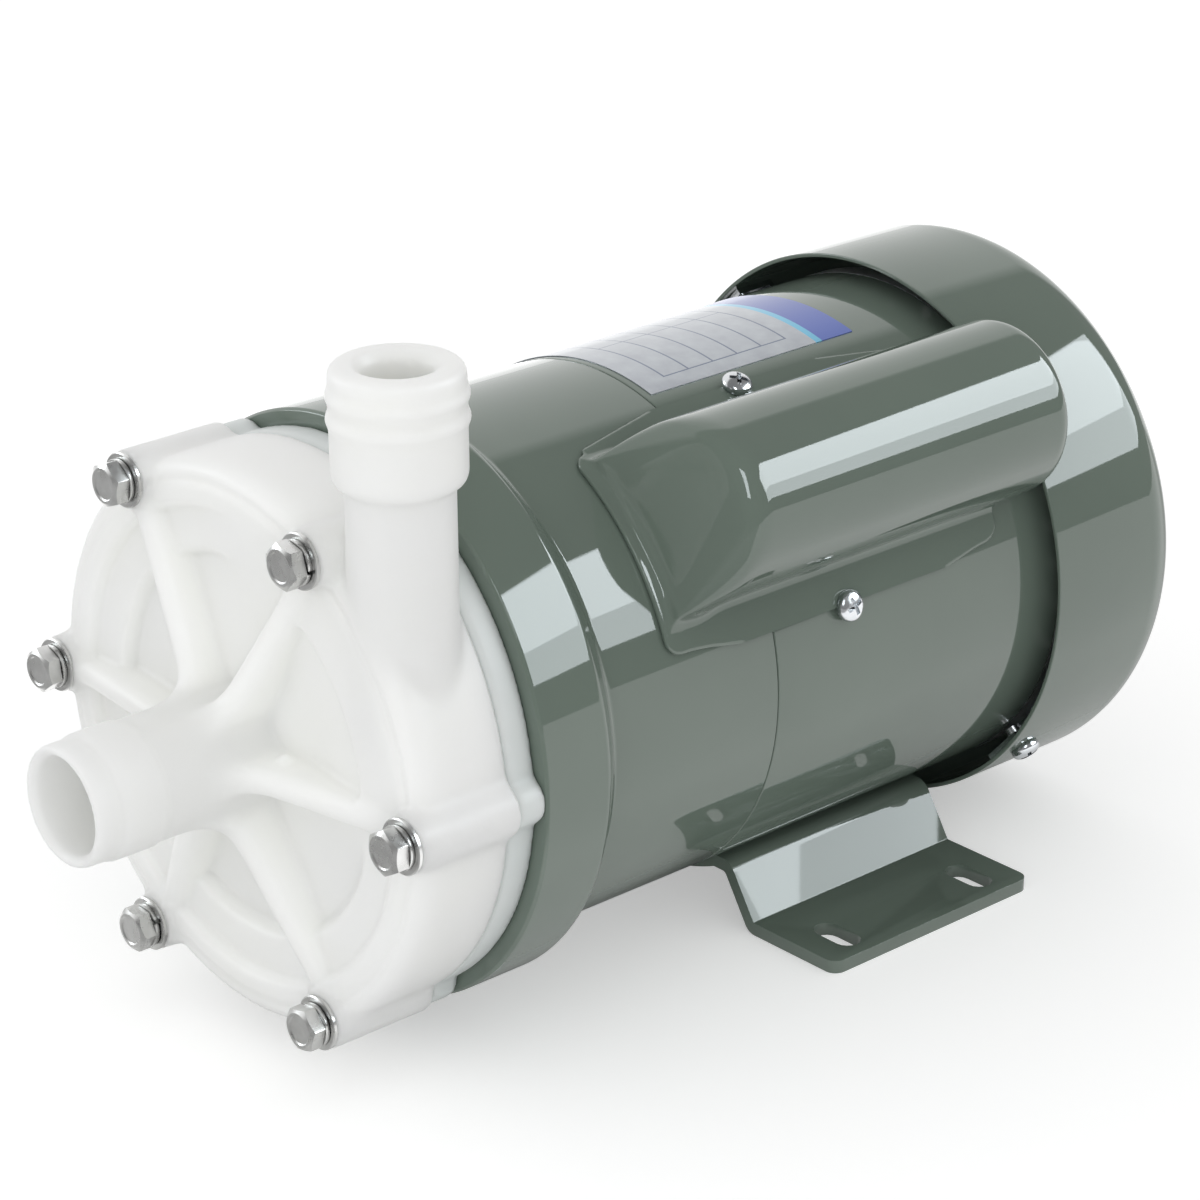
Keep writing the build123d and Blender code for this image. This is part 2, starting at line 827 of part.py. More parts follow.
# Motor bracket: the ring that takes the casing bolts, and the housing of the drive magnets
front_bearing_y = bracket_web_y + bracket_web - bearing_width
bearing_housing_radius = bearing_radius + bearing_seat_wall
bearing_lip_radius = bearing_radius - bearing_ring_wall
bracket_bore_radius = shell_radius - bracket_wall
spigot_radius = shell_bore_radius - spigot_clearance
ring_rear_y = bracket_y + ring_length
ring_shelf_y = ring_rear_y - bracket_wall
with BuildPart() as motor_bracket:
    revolve(
        profile(
            (bracket_y, ring_bore_radius),
            (bracket_y, ring_radius - ring_chamfer),
            (bracket_y + ring_chamfer, ring_radius),
            (ring_rear_y, ring_radius),
            (ring_rear_y + taper_length, shell_radius),
            (seam_y, shell_radius),
            (seam_y, spigot_radius),
            (seam_y + spigot_length, spigot_radius),
            (seam_y + spigot_length, spigot_radius - spigot_wall),
            (bracket_web_y + bracket_web, spigot_radius - spigot_wall),
            (bracket_web_y + bracket_web, bearing_radius + press_clearance),
            (front_bearing_y, bearing_radius + press_clearance),
            (front_bearing_y, bearing_lip_radius),
            (front_bearing_y - bracket_wall / 2, bearing_lip_radius),
            (front_bearing_y - bracket_wall / 2, bearing_housing_radius),
            (bracket_web_y, bearing_housing_radius),
            (bracket_web_y, bracket_bore_radius),
            (ring_shelf_y, bracket_bore_radius),
            (ring_shelf_y, ring_bore_radius),
        ),
        axis=shaft_axis,
    )
    with BuildSketch(facing_inlet(bracket_y)):
        with PolarLocations(bolt_circle_radius, bolt_count):
            Circle(bolt_radius + press_clearance)
    extrude(amount=-bolt_grip, mode=Mode.SUBTRACT)
    with BuildSketch(facing_inlet(bracket_web_y)):
        with PolarLocations(tie_bolt_circle_radius, tie_bolt_count):
            Circle(tie_bolt_radius + press_clearance)
    extrude(amount=bracket_web_y - seam_y - spigot_length, mode=Mode.SUBTRACT)
save(motor_bracket.part, "motor_bracket")


# Ball bearings
ball_circle_radius = (bearing_radius + shaft_seat_radius) / 2


def bearing_outer_ring(y):
    with BuildPart() as outer_ring:
        revolve(
            band(y, y + bearing_width, bearing_radius - bearing_ring_wall, bearing_radius),
            axis=shaft_axis,
        )
        with BuildSketch(shaft_section):
            with Locations((y + bearing_width / 2, ball_circle_radius)):
                Circle(ball_radius + ball_clearance)
        revolve(axis=shaft_axis, mode=Mode.SUBTRACT)
    return outer_ring.part


def bearing_inner_ring(y):
    with BuildPart() as inner_ring:
        revolve(
            band(
                y,
                y + bearing_width,
                shaft_seat_radius + press_clearance,
                shaft_seat_radius + bearing_ring_wall,
            ),
            axis=shaft_axis,
        )
        with BuildSketch(shaft_section):
            with Locations((y + bearing_width / 2, ball_circle_radius)):
                Circle(ball_radius + ball_clearance)
        revolve(axis=shaft_axis, mode=Mode.SUBTRACT)
    return inner_ring.part


def bearing_balls(y):
    with BuildPart() as balls:
        with Locations(facing_inlet(y + bearing_width / 2)):
            with PolarLocations(ball_circle_radius, ball_count):
                Sphere(ball_radius)
    return balls.part


rear_lip = bracket_wall / 2
rear_bearing_y = end_bracket_rear_y - rear_lip - preload_washer_thickness - bearing_width
save(bearing_outer_ring(front_bearing_y), "front_bearing_outer_ring")
save(bearing_inner_ring(front_bearing_y), "front_bearing_inner_ring")
save(bearing_balls(front_bearing_y), "front_bearing_balls")
save(bearing_outer_ring(rear_bearing_y), "rear_bearing_outer_ring")
save(bearing_inner_ring(rear_bearing_y), "rear_bearing_inner_ring")
save(bearing_balls(rear_bearing_y), "rear_bearing_balls")

with BuildPart() as preload_washer:
    revolve(
        band(
            rear_bearing_y + bearing_width,
            end_bracket_rear_y - rear_lip,
            bearing_lip_radius,
            bearing_radius - press_clearance,
        ),
        axis=shaft_axis,
    )
save(preload_washer.part, "preload_washer")


# Rotor
shaft_front_y = yoke_web_y
fan_end_y = fan_y + fan_plate + fan_blade_height
clip_end_y = fan_end_y + clip_thickness
shaft_rear_y = clip_end_y + 2 * clip_thickness
with BuildPart() as motor_shaft:
    revolve(
        profile(
            (shaft_front_y, 0),
            (shaft_front_y, shaft_end_radius),
            (front_bearing_y, shaft_end_radius),
            (front_bearing_y, shaft_seat_radius),
            (front_bearing_y + bearing_width, shaft_seat_radius),
            (front_bearing_y + bearing_width, shaft_body_radius),
            (rear_bearing_y, shaft_body_radius),
            (rear_bearing_y, shaft_seat_radius),
            (rear_bearing_y + bearing_width, shaft_seat_radius),
            (rear_bearing_y + bearing_width, shaft_end_radius),
            (fan_end_y, shaft_end_radius),
            (fan_end_y, shaft_end_radius - clip_groove_depth),
            (clip_end_y, shaft_end_radius - clip_groove_depth),
            (clip_end_y, shaft_end_radius),
            (shaft_rear_y, shaft_end_radius),
            (shaft_rear_y, 0),
        ),
        axis=shaft_axis,
    )
save(motor_shaft.part, "motor_shaft")

with BuildPart() as rotor_core:
    revolve(band(stator_y, stator_end_y, shaft_body_radius + press_clearance, rotor_radius), axis=shaft_axis)
save(rotor_core.part, "rotor_core")

end_ring_radius = rotor_radius - slot_land
with BuildPart() as rotor_end_rings:
    revolve(
        band(stator_y - end_ring_length, stator_y, end_ring_bore_radius, end_ring_radius),
        axis=shaft_axis,
    )
    revolve(
        band(stator_end_y, stator_end_y + end_ring_length, end_ring_bore_radius, end_ring_radius),
        axis=shaft_axis,
    )
save(rotor_end_rings.part, "rotor_end_rings")


# Stator
stator_bore_radius = rotor_radius + air_gap
slot_inner_radius = stator_bore_radius + slot_land
slot_mid_radius = slot_inner_radius + slot_depth / 2
with BuildPart() as stator_core:
    revolve(
        band(stator_y, stator_end_y, stator_bore_radius, shell_bore_radius - seat_clearance),
        axis=shaft_axis,
    )
    with BuildSketch(facing_inlet(stator_y)):
        with PolarLocations(slot_mid_radius, stator_slot_count):
            Rectangle(slot_depth, slot_opening)
        with PolarLocations(tie_bolt_circle_radius, tie_bolt_count):
            Circle(tie_bolt_radius + tie_bolt_clearance)
        with PolarLocations(tie_bolt_circle_radius + tie_bolt_radius, tie_bolt_count):
            Rectangle(2 * tie_bolt_radius, 2 * tie_bolt_radius)
    extrude(amount=-stator_length, mode=Mode.SUBTRACT)
save(stator_core.part, "stator_core")

with BuildPart() as stator_windings:
    revolve(
        band(stator_y - end_turn_length, stator_y, slot_inner_radius, end_turn_radius),
        axis=shaft_axis,
    )
    revolve(
        band(stator_end_y, stator_end_y + end_turn_length, slot_inner_radius, end_turn_radius),
        axis=shaft_axis,
    )
    with BuildSketch(facing_inlet(stator_y)):
        with PolarLocations(slot_mid_radius, stator_slot_count):
            Rectangle(slot_depth - 2 * press_clearance, slot_opening - 2 * press_clearance)
    extrude(amount=-stator_length)
save(stator_windings.part, "stator_windings")


# Motor shell, rear end bracket and tie bolts
cap_screw_y = seam_y + cap_screw_from_seam
with BuildPart() as motor_shell:
    revolve(band(seam_y, shell_end_y, shell_bore_radius, shell_radius), axis=shaft_axis)
    for clock in cap_screw_angles:
        with BuildSketch(radial_plane(clock, shell_bore_radius - shell_sheet, cap_screw_y)):
            Circle(small_screw_radius + press_clearance)
        extrude(amount=3 * shell_sheet, mode=Mode.SUBTRACT)
save(motor_shell.part, "motor_shell")

with BuildPart() as rear_end_bracket:
    revolve(
        profile(
            (shell_end_y - spigot_length, spigot_radius - spigot_wall),
            (shell_end_y - spigot_length, spigot_radius),
            (shell_end_y, spigot_radius),
            (shell_end_y, shell_radius),
            (end_bracket_rear_y, shell_radius),
            (end_bracket_rear_y, shaft_body_radius),
            (end_bracket_rear_y - rear_lip, shaft_body_radius),
            (end_bracket_rear_y - rear_lip, bearing_radius + press_clearance),
            (rear_bearing_y, bearing_radius + press_clearance),
            (rear_bearing_y, bearing_housing_radius),
            (shell_end_y, bearing_housing_radius),
            (shell_end_y, spigot_radius - spigot_wall),
        ),
        axis=shaft_axis,
    )
    with BuildSketch(facing_inlet(end_bracket_rear_y)):
        with PolarLocations(tie_bolt_circle_radius, tie_bolt_count):
            Circle(tie_bolt_radius + press_clearance)
    extrude(amount=end_bracket_thickness + spigot_length, mode=Mode.SUBTRACT)
save(rear_end_bracket.part, "rear_end_bracket")

tie_bolt_end_y = bracket_web_y + bracket_web / 2
with BuildPart() as tie_bolts:
    with BuildSketch(facing_inlet(end_bracket_rear_y)):
        with PolarLocations(tie_bolt_circle_radius, tie_bolt_count):
            Circle(tie_bolt_radius)
    extrude(amount=end_bracket_rear_y - tie_bolt_end_y)
    with BuildSketch(facing_inlet(end_bracket_rear_y)):
        with PolarLocations(tie_bolt_circle_radius, tie_bolt_count):
            RegularPolygon(tie_bolt_head_radius, 6)
    extrude(amount=-tie_bolt_head_height)
save(tie_bolts.part, "tie_bolts")


# Fan on the rear end of the shaft
with BuildPart() as fan:
    revolve(band(fan_y, fan_end_y, shaft_end_radius + press_clearance, fan_hub_radius), axis=shaft_axis)
    revolve(band(fan_y, fan_y + fan_plate, shaft_end_radius + press_clearance, fan_radius), axis=shaft_axis)
    with BuildSketch(clock_plane(0)):
        Polygon(
            (fan_hub_radius - weld_depth, fan_y),
            (fan_radius, fan_y),
            (fan_radius, fan_end_y - fan_plate),
            (fan_radius - 2 * fan_plate, fan_end_y),
            (fan_hub_radius - weld_depth, fan_end_y),
            align=None,
        )
    fan_blade = extrude(amount=fan_blade_thickness / 2, both=True)
    add(around(fan_blade, fan_blade_count))
save(fan.part, "fan")

with BuildPart() as fan_clip:
    revolve(
        band(fan_end_y, clip_end_y, shaft_end_radius - clip_groove_depth + press_clearance, clip_radius),
        axis=shaft_axis,
    )
    with BuildSketch(facing_inlet(fan_end_y)):
        with Locations((0, -clip_radius / 2)):
            Rectangle(shaft_end_radius, clip_radius)
    extrude(amount=-clip_thickness, mode=Mode.SUBTRACT)
save(fan_clip.part, "fan_clip")


# Fan cover: deep-drawn sheet, open in front, slotted at the back
def cover_form(inset):
    with BuildSketch(shaft_section) as form:
        with BuildLine():
            side = Line(
                (fan_cover_y, fan_cover_radius - inset),
                (fan_cover_end_y - fan_cover_corner, fan_cover_radius - inset),
            )
            corner = JernArc(side @ 1, (1, 0), fan_cover_corner - inset, -90)
            Polyline(corner @ 1, (fan_cover_end_y - inset, 0), (fan_cover_y, 0), side @ 0)
        make_face()
    return form.sketch


with BuildPart() as fan_cover:
    revolve(cover_form(0), axis=shaft_axis)
    revolve(cover_form(fan_cover_sheet), axis=shaft_axis, mode=Mode.SUBTRACT)
    with BuildSketch(facing_inlet(fan_cover_end_y)):
        for count, radii in (
            (grille_inner_count, grille_inner_radii),
            (grille_outer_count, grille_outer_radii),
        ):
            with PolarLocations((radii[0] + radii[1]) / 2, count):
                SlotOverall(radii[1] - radii[0], grille_slot_width)
    extrude(amount=fan_cover_corner, mode=Mode.SUBTRACT)
    for index in range(cover_screw_count):
        with BuildSketch(
            radial_plane(
                cover_screw_angle + 360 / cover_screw_count * index,
                fan_cover_radius - 2 * fan_cover_sheet,
                cover_screw_y,
            )
        ):
            Circle(small_screw_radius + press_clearance)
        extrude(amount=3 * fan_cover_sheet, mode=Mode.SUBTRACT)
save(fan_cover.part, "fan_cover")

tab_radius = sqrt((fan_cover_radius - fan_cover_sheet - seat_clearance) ** 2 - (tab_width / 2) ** 2)
with BuildPart() as cover_tab:
    with BuildSketch(clock_plane(cover_screw_angle)):
        Polygon(
            (tab_radius - tab_sheet, cover_screw_y - tab_width / 2),
            (tab_radius, cover_screw_y - tab_width / 2),
            (tab_radius, end_bracket_rear_y + tab_sheet),
            (shell_radius - tab_root_depth, end_bracket_rear_y + tab_sheet),
            (shell_radius - tab_root_depth, end_bracket_rear_y),
            (tab_radius - tab_sheet, end_bracket_rear_y),
            align=None,
        )
    extrude(amount=tab_width / 2, both=True)
    with BuildSketch(radial_plane(cover_screw_angle, tab_radius - 2 * tab_sheet, cover_screw_y)):
        Circle(small_screw_radius + press_clearance)
    extrude(amount=3 * tab_sheet, mode=Mode.SUBTRACT)

with BuildPart() as fan_cover_tabs:
    add(around(cover_tab.part, cover_screw_count))
save(fan_cover_tabs.part, "fan_cover_tabs")


# Pan-head screws with a cross recess; each seats under its head
with BuildPart() as pan_screw:
    with BuildSketch():
        Circle(small_screw_radius)
    extrude(amount=-small_screw_length)
    with BuildSketch():
        Circle(pan_head_radius)
    extrude(amount=pan_head_height)
    fillet(pan_screw.edges().group_by(Axis.Z)[-1], pan_head_height / 2)
    with BuildSketch(Plane.XY.offset(pan_head_height)):
        Rectangle(recess_span, recess_arm)
        Rectangle(recess_arm, recess_span)
    extrude(amount=-pan_head_height / 2, mode=Mode.SUBTRACT)

with BuildPart() as fan_cover_screws:
    for index in range(cover_screw_count):
        clock = cover_screw_angle + 360 / cover_screw_count * index
        with Locations(radial_plane(clock, fan_cover_radius, cover_screw_y)):
            add(pan_screw.part)
save(fan_cover_screws.part, "fan_cover_screws")


# Capacitor cover: a pressed hump with a sloped nose and a flange that wraps the motor
cover_inner_radius = shell_radius + seat_clearance
cover_outer_radius = cover_inner_radius + cover_sheet
crest_y = seam_y - hump_from_seam
hump_end_y = fan_cover_y - hump_to_fan_cover
hump_length = hump_end_y - crest_y
flange_y = seam_y - cover_flange_from_seam
cover_flange_length = shell_end_y - cover_flange_from_shell_end - flange_y
flange_middle_angle = (cover_flange_angles[0] + cover_flange_angles[1]) / 2
flange_half_width = cover_outer_radius * sin(radians(cover_flange_angles[1] - flange_middle_angle))
hump_crest_radius = shell_radius + hump_height
hump_foot_radius = shell_radius - 2 * cover_sheet
hump_rise = hump_crest_radius - sqrt(hump_foot_radius**2 - hump_half_width**2)
hump_radius = (hump_half_width**2 + hump_rise**2) / (2 * hump_rise)
hump_axis_radius = hump_crest_radius - hump_radius
grommet_axis_radius = hump_crest_radius - grommet_from_crest


def hump_plane(y):
    """Plane across the hump: local x around the motor, local y outwards; negative amounts run rearwards."""
    return Plane(
        (0, y, shaft_height),
        x_dir=(cos(radians(hump_angle)), 0, -sin(radians(hump_angle))),
        z_dir=(0, -1, 0),
    )


def hump_section(y, radius, crest):
    """Arc over the motor that ends on the chord where the full hump circle leaves the shell."""
    chord = (hump_foot_radius**2 + hump_axis_radius**2 - radius**2) / (2 * hump_axis_radius)
    half_width = sqrt(hump_foot_radius**2 - chord**2)
    with BuildSketch(hump_plane(y)) as section:
        with BuildLine():
            arc = ThreePointArc((-half_width, chord), (0, crest), (half_width, chord))
            Line(arc @ 1, arc @ 0)
        make_face()
    return section.sketch


def hump_form(inset):
    """Solid hump with its nose, inset from the outer surface of the sheet."""
    radius = hump_radius - inset
    crest = hump_axis_radius + radius
    nose_crest = cover_outer_radius + nose_rise - inset
    with BuildPart() as form:
        extrude(hump_section(crest_y + inset, radius, crest), amount=-(hump_length - 2 * inset))
        fillet(form.faces().sort_by(Axis.Y)[-1].edges().filter_by(GeomType.CIRCLE), hump_edge - inset)
        nose_front = hump_section(crest_y - nose_length + inset, radius, nose_crest)
        loft([nose_front, hump_section(crest_y + inset, radius, crest)])
        rims = form.edges().filter_by(GeomType.CIRCLE)
        fillet(rims.sort_by(lambda rim: abs(rim.center().Y - crest_y - inset))[0], hump_crest_edge - inset)
    return form.part


with BuildPart() as capacitor_cover:
    with BuildSketch(radial_plane(flange_middle_angle, 0, flange_y + cover_flange_length / 2)):
        RectangleRounded(cover_flange_length, 2 * flange_half_width, cover_flange_corner)
    extrude(amount=hump_axis_radius)
    for clock, side in zip(cap_screw_angles, (-1, 1)):
        with BuildSketch(radial_plane(clock, 0, cap_screw_y)):
            with BuildLine():
                CenterArc((0, 0), screw_tab_radius, 0, 360)
                Line(
                    (-screw_tab_half_base, side * screw_tab_inset),
                    (screw_tab_half_base, side * screw_tab_inset),
                )
            make_hull()
        extrude(amount=hump_axis_radius)
    revolve(
        band(flange_y, flange_y + cover_flange_length, cover_inner_radius, cover_outer_radius),
        axis=shaft_axis,
        mode=Mode.INTERSECT,
    )
    add(hump_form(0))
    add(hump_form(cover_sheet), mode=Mode.SUBTRACT)
    revolve(band(flange_y, hump_end_y, 0, cover_inner_radius), axis=shaft_axis, mode=Mode.SUBTRACT)
    for clock in cap_screw_angles:
        with BuildSketch(radial_plane(clock, cover_inner_radius - cover_sheet, cap_screw_y)):
            Circle(small_screw_radius + press_clearance)
        extrude(amount=3 * cover_sheet, mode=Mode.SUBTRACT)
    with BuildSketch(hump_plane(hump_end_y)):
        with Locations((0, grommet_axis_radius)):
            Circle(grommet_radius - grommet_groove_depth + press_clearance)
    extrude(amount=2 * cover_sheet, both=True, mode=Mode.SUBTRACT)
save(capacitor_cover.part, "capacitor_cover")

with BuildPart() as capacitor_cover_screws:
    for clock in cap_screw_angles:
        with Locations(radial_plane(clock, cover_outer_radius, cap_screw_y)):
            add(pan_screw.part)
save(capacitor_cover_screws.part, "capacitor_cover_screws")

with BuildPart() as cable_grommet:
    with BuildSketch(hump_plane(hump_end_y + grommet_lip)):
        with Locations((0, grommet_axis_radius)):
            Circle(grommet_radius)
    extrude(amount=grommet_lip)
    with BuildSketch(hump_plane(hump_end_y + grommet_lip)):
        with Locations((0, grommet_axis_radius)):
            Circle(grommet_radius - grommet_groove_depth)
    extrude(amount=2 * grommet_lip + cover_sheet)
    with BuildSketch(hump_plane(hump_end_y - cover_sheet)):
        with Locations((0, grommet_axis_radius)):
            Circle(grommet_radius)
    extrude(amount=grommet_lip)
    with BuildSketch(hump_plane(hump_end_y + grommet_lip)):
        with Locations((0, grommet_axis_radius)):
            Circle(grommet_bore_radius)
    extrude(amount=2 * grommet_lip + cover_sheet, mode=Mode.SUBTRACT)
save(cable_grommet.part, "cable_grommet")


# Capacitor and its strap, on the motor shell under the hump
capacitor_y = crest_y + capacitor_from_crest
capacitor_end_y = hump_end_y - capacitor_from_hump_end
capacitor_length = capacitor_end_y - capacitor_y
capacitor_seat_radius = shell_radius + loose_clearance
capacitor_width = 2 * (hump_half_width - capacitor_side_gap)
capacitor_height = hump_height - capacitor_headroom
capacitor_middle_radius = capacitor_seat_radius + capacitor_height / 2
strap_inner_half = capacitor_width / 2 + loose_clearance
strap_top = capacitor_seat_radius + capacitor_height + loose_clearance
strap_y = capacitor_y + (capacitor_length + strap_width) / 2
with BuildPart() as capacitor:
    with BuildSketch(hump_plane(capacitor_y)):
        with Locations((0, capacitor_middle_radius)):
            RectangleRounded(capacitor_width, capacitor_height, capacitor_edge)
    extrude(amount=-capacitor_length)
    with BuildSketch(hump_plane(capacitor_end_y)):
        with Locations((0, capacitor_middle_radius)):
            with GridLocations(terminal_spacing, 1, 2, 1):
                Rectangle(terminal_width, terminal_sheet)
    extrude(amount=-terminal_length)
save(capacitor.part, "capacitor")

with BuildPart() as capacitor_strap:
    with BuildSketch(hump_plane(strap_y)):
        with BuildLine():
            FilletPolyline(
                (-strap_inner_half, hump_foot_radius - strap_width),
                (-strap_inner_half, strap_top),
                (strap_inner_half, strap_top),
                (strap_inner_half, hump_foot_radius - strap_width),
                radius=capacitor_edge + loose_clearance,
            )
            offset(amount=strap_sheet, side=Side.LEFT)
        make_face()
    extrude(amount=strap_width)
    revolve(
        band(strap_y - strap_width, strap_y, 0, shell_radius + seat_clearance),
        axis=shaft_axis,
        mode=Mode.SUBTRACT,
    )
save(capacitor_strap.part, "capacitor_strap")


# Name plate on the motor shell
plate_y = seam_y + plate_from_seam
plate_seat_radius = shell_radius + seat_clearance
with BuildPart() as name_plate:
    revolve(
        band(plate_y, plate_y + plate_length, plate_seat_radius, plate_seat_radius + plate_thickness),
        axis=shaft_axis,
        revolution_arc=plate_low_angle - plate_high_angle,
    )
    fillet(name_plate.edges().filter_by(GeomType.LINE).filter_by(Axis.Y, reverse=True), plate_corner)
save(name_plate.part.rotate(shaft_axis, plate_high_angle), "name_plate")
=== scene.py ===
import json
from math import asin, atan2, cos, hypot, pi, radians, sin, tan

import bmesh
import bpy
import numpy as np
from mathutils import Matrix, Vector


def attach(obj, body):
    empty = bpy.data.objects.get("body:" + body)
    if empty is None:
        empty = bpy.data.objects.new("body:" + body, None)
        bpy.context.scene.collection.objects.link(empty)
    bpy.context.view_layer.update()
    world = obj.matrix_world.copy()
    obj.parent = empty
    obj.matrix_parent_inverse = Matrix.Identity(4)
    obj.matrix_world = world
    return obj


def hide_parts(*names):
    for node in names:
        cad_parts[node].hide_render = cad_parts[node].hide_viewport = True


# Magnetic drive pump, dressed over its CAD frame.
# Sizes are in millimetres and become metres when a mesh is made. Stations are
# millimetres behind the front faces of the casing bosses. Clock angles are seen
# from the inlet, from the top (0) towards the outlet side (90).

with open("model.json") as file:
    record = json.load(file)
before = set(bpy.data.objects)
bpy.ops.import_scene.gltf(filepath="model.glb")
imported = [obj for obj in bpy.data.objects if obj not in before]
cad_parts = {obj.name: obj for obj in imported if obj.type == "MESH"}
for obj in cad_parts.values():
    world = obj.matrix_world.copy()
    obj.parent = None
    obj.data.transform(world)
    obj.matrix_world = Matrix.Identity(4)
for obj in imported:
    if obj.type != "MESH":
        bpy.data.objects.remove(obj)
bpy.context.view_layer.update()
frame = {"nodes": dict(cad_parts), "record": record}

MM = 0.001
SHAFT_HEIGHT = 72.0
BOSS_FACE_Y = -152.5
SEAT_CLEARANCE = 0.05
LATHE_SEGMENTS = 192

# Casing, outer form
CASING_RADIUS = 64.0
CASING_ROUND = 5.5
CASING_SPLIT = 26.5
FLANGE_REAR = 34.0
BOLT_CIRCLE = 62.0
BOLT_COUNT = 6
BOLT_HOLE = 3.25
BOSS_RADIUS = 6.4
BOSS_BLEND = 2.6
LUG_RADIUS = 5.6
LUG_BLEND = 1.5
GATE_X = 19.5
GATE_HEIGHT = 3.4
GATE_STATION = 2.0
GATE_RADIUS = 1.4
GATE_STRETCH = 1.5
GATE_BLEND = 2.0
CASING_BOX = ((-71, -197.5, 0), (71, -121, 172))
CASING_STEP = 0.6
REAR_CASING_BOX = ((-71, -128, 1), (71, -74, 143))
REAR_CASING_STEP = 0.9

# Casing, front face. EDGE and RUN pairs are where a smooth step starts and ends
# inside its radius, and CLOCKS pairs where it starts and ends round the face.
RIM_STATION = 2.5
RIM_INNER = 54.0
RIM_EDGE = (-0.5, 1.0)
RIM_GROOVE_RADIUS = 59.6
RIM_GROOVE_DEPTH = 0.85
RIM_GROOVE_WIDTH = 0.8
RECESS_DEPTH = 2.2
DISH_RADIUS = 43.5
DISH_DEPTH = 3.1
DISH_EDGE = (-0.6, 1.4)
RAMP_RADIUS = 56.0
RAMP_RUN = (0.0, 38.0)
RAMP_CLOCKS = (-20.0, 8.0)
PAD_RADIUS = 44.3
PAD_STEP = 2.2
PAD_EDGE = (-0.4, 0.8)
PAD_RUN = (0.0, 22.0)
PAD_FIRST_CLOCKS = (27.0, 33.0)
PAD_LAST_CLOCKS = (87.0, 93.0)
FADE_RUN = (-2.0, 24.0)
FADE_CLOCKS = (98.0, 118.0)
HUB_CONE = 2.6
HUB_CONE_RUN = 28.0
HUB_FLARE = 2.6

# Casing, ribs
RIB_HALF_WIDTH = 3.25
RIB_DRAFT = 0.08
RIB_INNER = 6.0
RIB_START = 22.0
RIB_CREST = -4.1
RIB_SLOPE = 0.18
RIB_BLEND = 2.2
FLAT_RIB_CLOCKS = (-120, 0)
FLAT_RIB_CREST = -2.8
FLAT_RIB_SLOPE = 0.09
HUB_CLIMB = 6.0
HUB_CLIMB_START = 14.0
HUB_CLIMB_LENGTH = 2.0

# Casing, inlet, chamber and spindle spider
INLET_TIP = -42.5
INLET_RADIUS = 13.6
INLET_ROUND = 2.4
INLET_BORE = 11.0
INLET_CONE = 3.0
INLET_CONE_STATIONS = (7.5, 12.0)
BAND_FRONT = -35.0
BAND_REAR = -24.2
BAND_EDGE = 0.3
BAND_RISE = 0.6
BAND_FALL = 0.45
MOUTH_DEPTH = 2.0
MOUTH_FLARE = 1.3
CHAMBER_FRONT = 12.5
CHAMBER_RADIUS = 50.0
VOLUTE_START = 40.0
VOLUTE_GROWTH = 4.5
SPIDER_RADIUS = 7.5
SPIDER_STATIONS = (1.2, 8.2)
SPIDER_VANE_SPACING = 120.0
SPIDER_VANE_HALF = 1.5
SPIDER_VANE_REACH = 12.5
CAN_RADIUS = 31.0
CAN_BORE = 28.5
CAN_END = 76.0
CAN_FLOOR = 4.0

# Casing, outlet; heights are above the shaft
OUTLET_X = 45.8
OUTLET_STATION = 14.5
OUTLET_TOP = 97.0
OUTLET_PIPE = 11.5
OUTLET_PIPE_SETBACK = 4.0
OUTLET_ROOT = 26.0
OUTLET_BLEND = 1.5
OUTLET_BORE = 7.5
OUTLET_BORE_FOOT = 14.0
OUTLET_FLARE = 1.6
OUTLET_FLARE_DEPTH = 2.2
COLLAR_RADIUS = 14.15
COLLAR_BOTTOM = 71.0
COLLAR_BOTTOM_ROUND = 3.4
COLLAR_TOP_ROUND = 2.6
COLLAR_BLEND = 1.2
BARB_HEIGHTS = (90.6, 85.5)
BARB_RISE = 0.75
BARB_HALF_WIDTH = 1.15

# Casing hardware
BOLT_HALF_FLATS = 4.6
BOLT_HEAD = 3.6
BOLT_STACK = 6.0
BOLT_SHANK = 3.0
BOLT_END = 49.0
WASHER_BORE = 3.3
WASHER_RADIUS = 6.25
WASHER_SHEET = 1.1
WASHER_CHAMFER = 0.25
SPRING_WASHER_FRONT = 2.4
SPRING_WASHER_RADIUS = 5.0

# Motor
RING_RADIUS = 67.5
RING_REAR = 51.7
TAPER_REAR = 58.0
SHELL_RADIUS = 61.4
SHELL_BORE = 59.4
SHELL_SEAT = SHELL_RADIUS + SEAT_CLEARANCE
SEAM = 106.7
SEAM_HALF_GAP = 0.1
SHELL_REAR = 198.0
FAN_COVER_FRONT = 191.5
FAN_COVER_REAR = 236.0
FAN_COVER_SHEET = 1.0
FAN_COVER_CORNER = 12.0
GRILLE_ROWS = ((12, 14.0, 28.0), (24, 33.0, 50.0))
GRILLE_SLOT_WIDTH = 4.0
COVER_SCREW_STATION = 200.0
COVER_SCREW_CLOCKS = (42.0, 132.0, 222.0, 312.0)

# Foot
FOOT_SHEET = 3.2
FOOT_SHELF = 3.82
FOOT_BENDS = (1.5, 3.6)
FOOT_WEB_LEAN = 32.0
FOOT_HALF_WIDTH = 67.0
FOOT_HALF_LENGTH = 32.5
FOOT_CORNER = 3.0
FOOT_SLOT_X = 57.0
FOOT_SLOT_Y = 22.0
FOOT_SLOT_LENGTH = 13.0
FOOT_SLOT_WIDTH = 6.5
SADDLE_HALF_ANGLE = 24.0

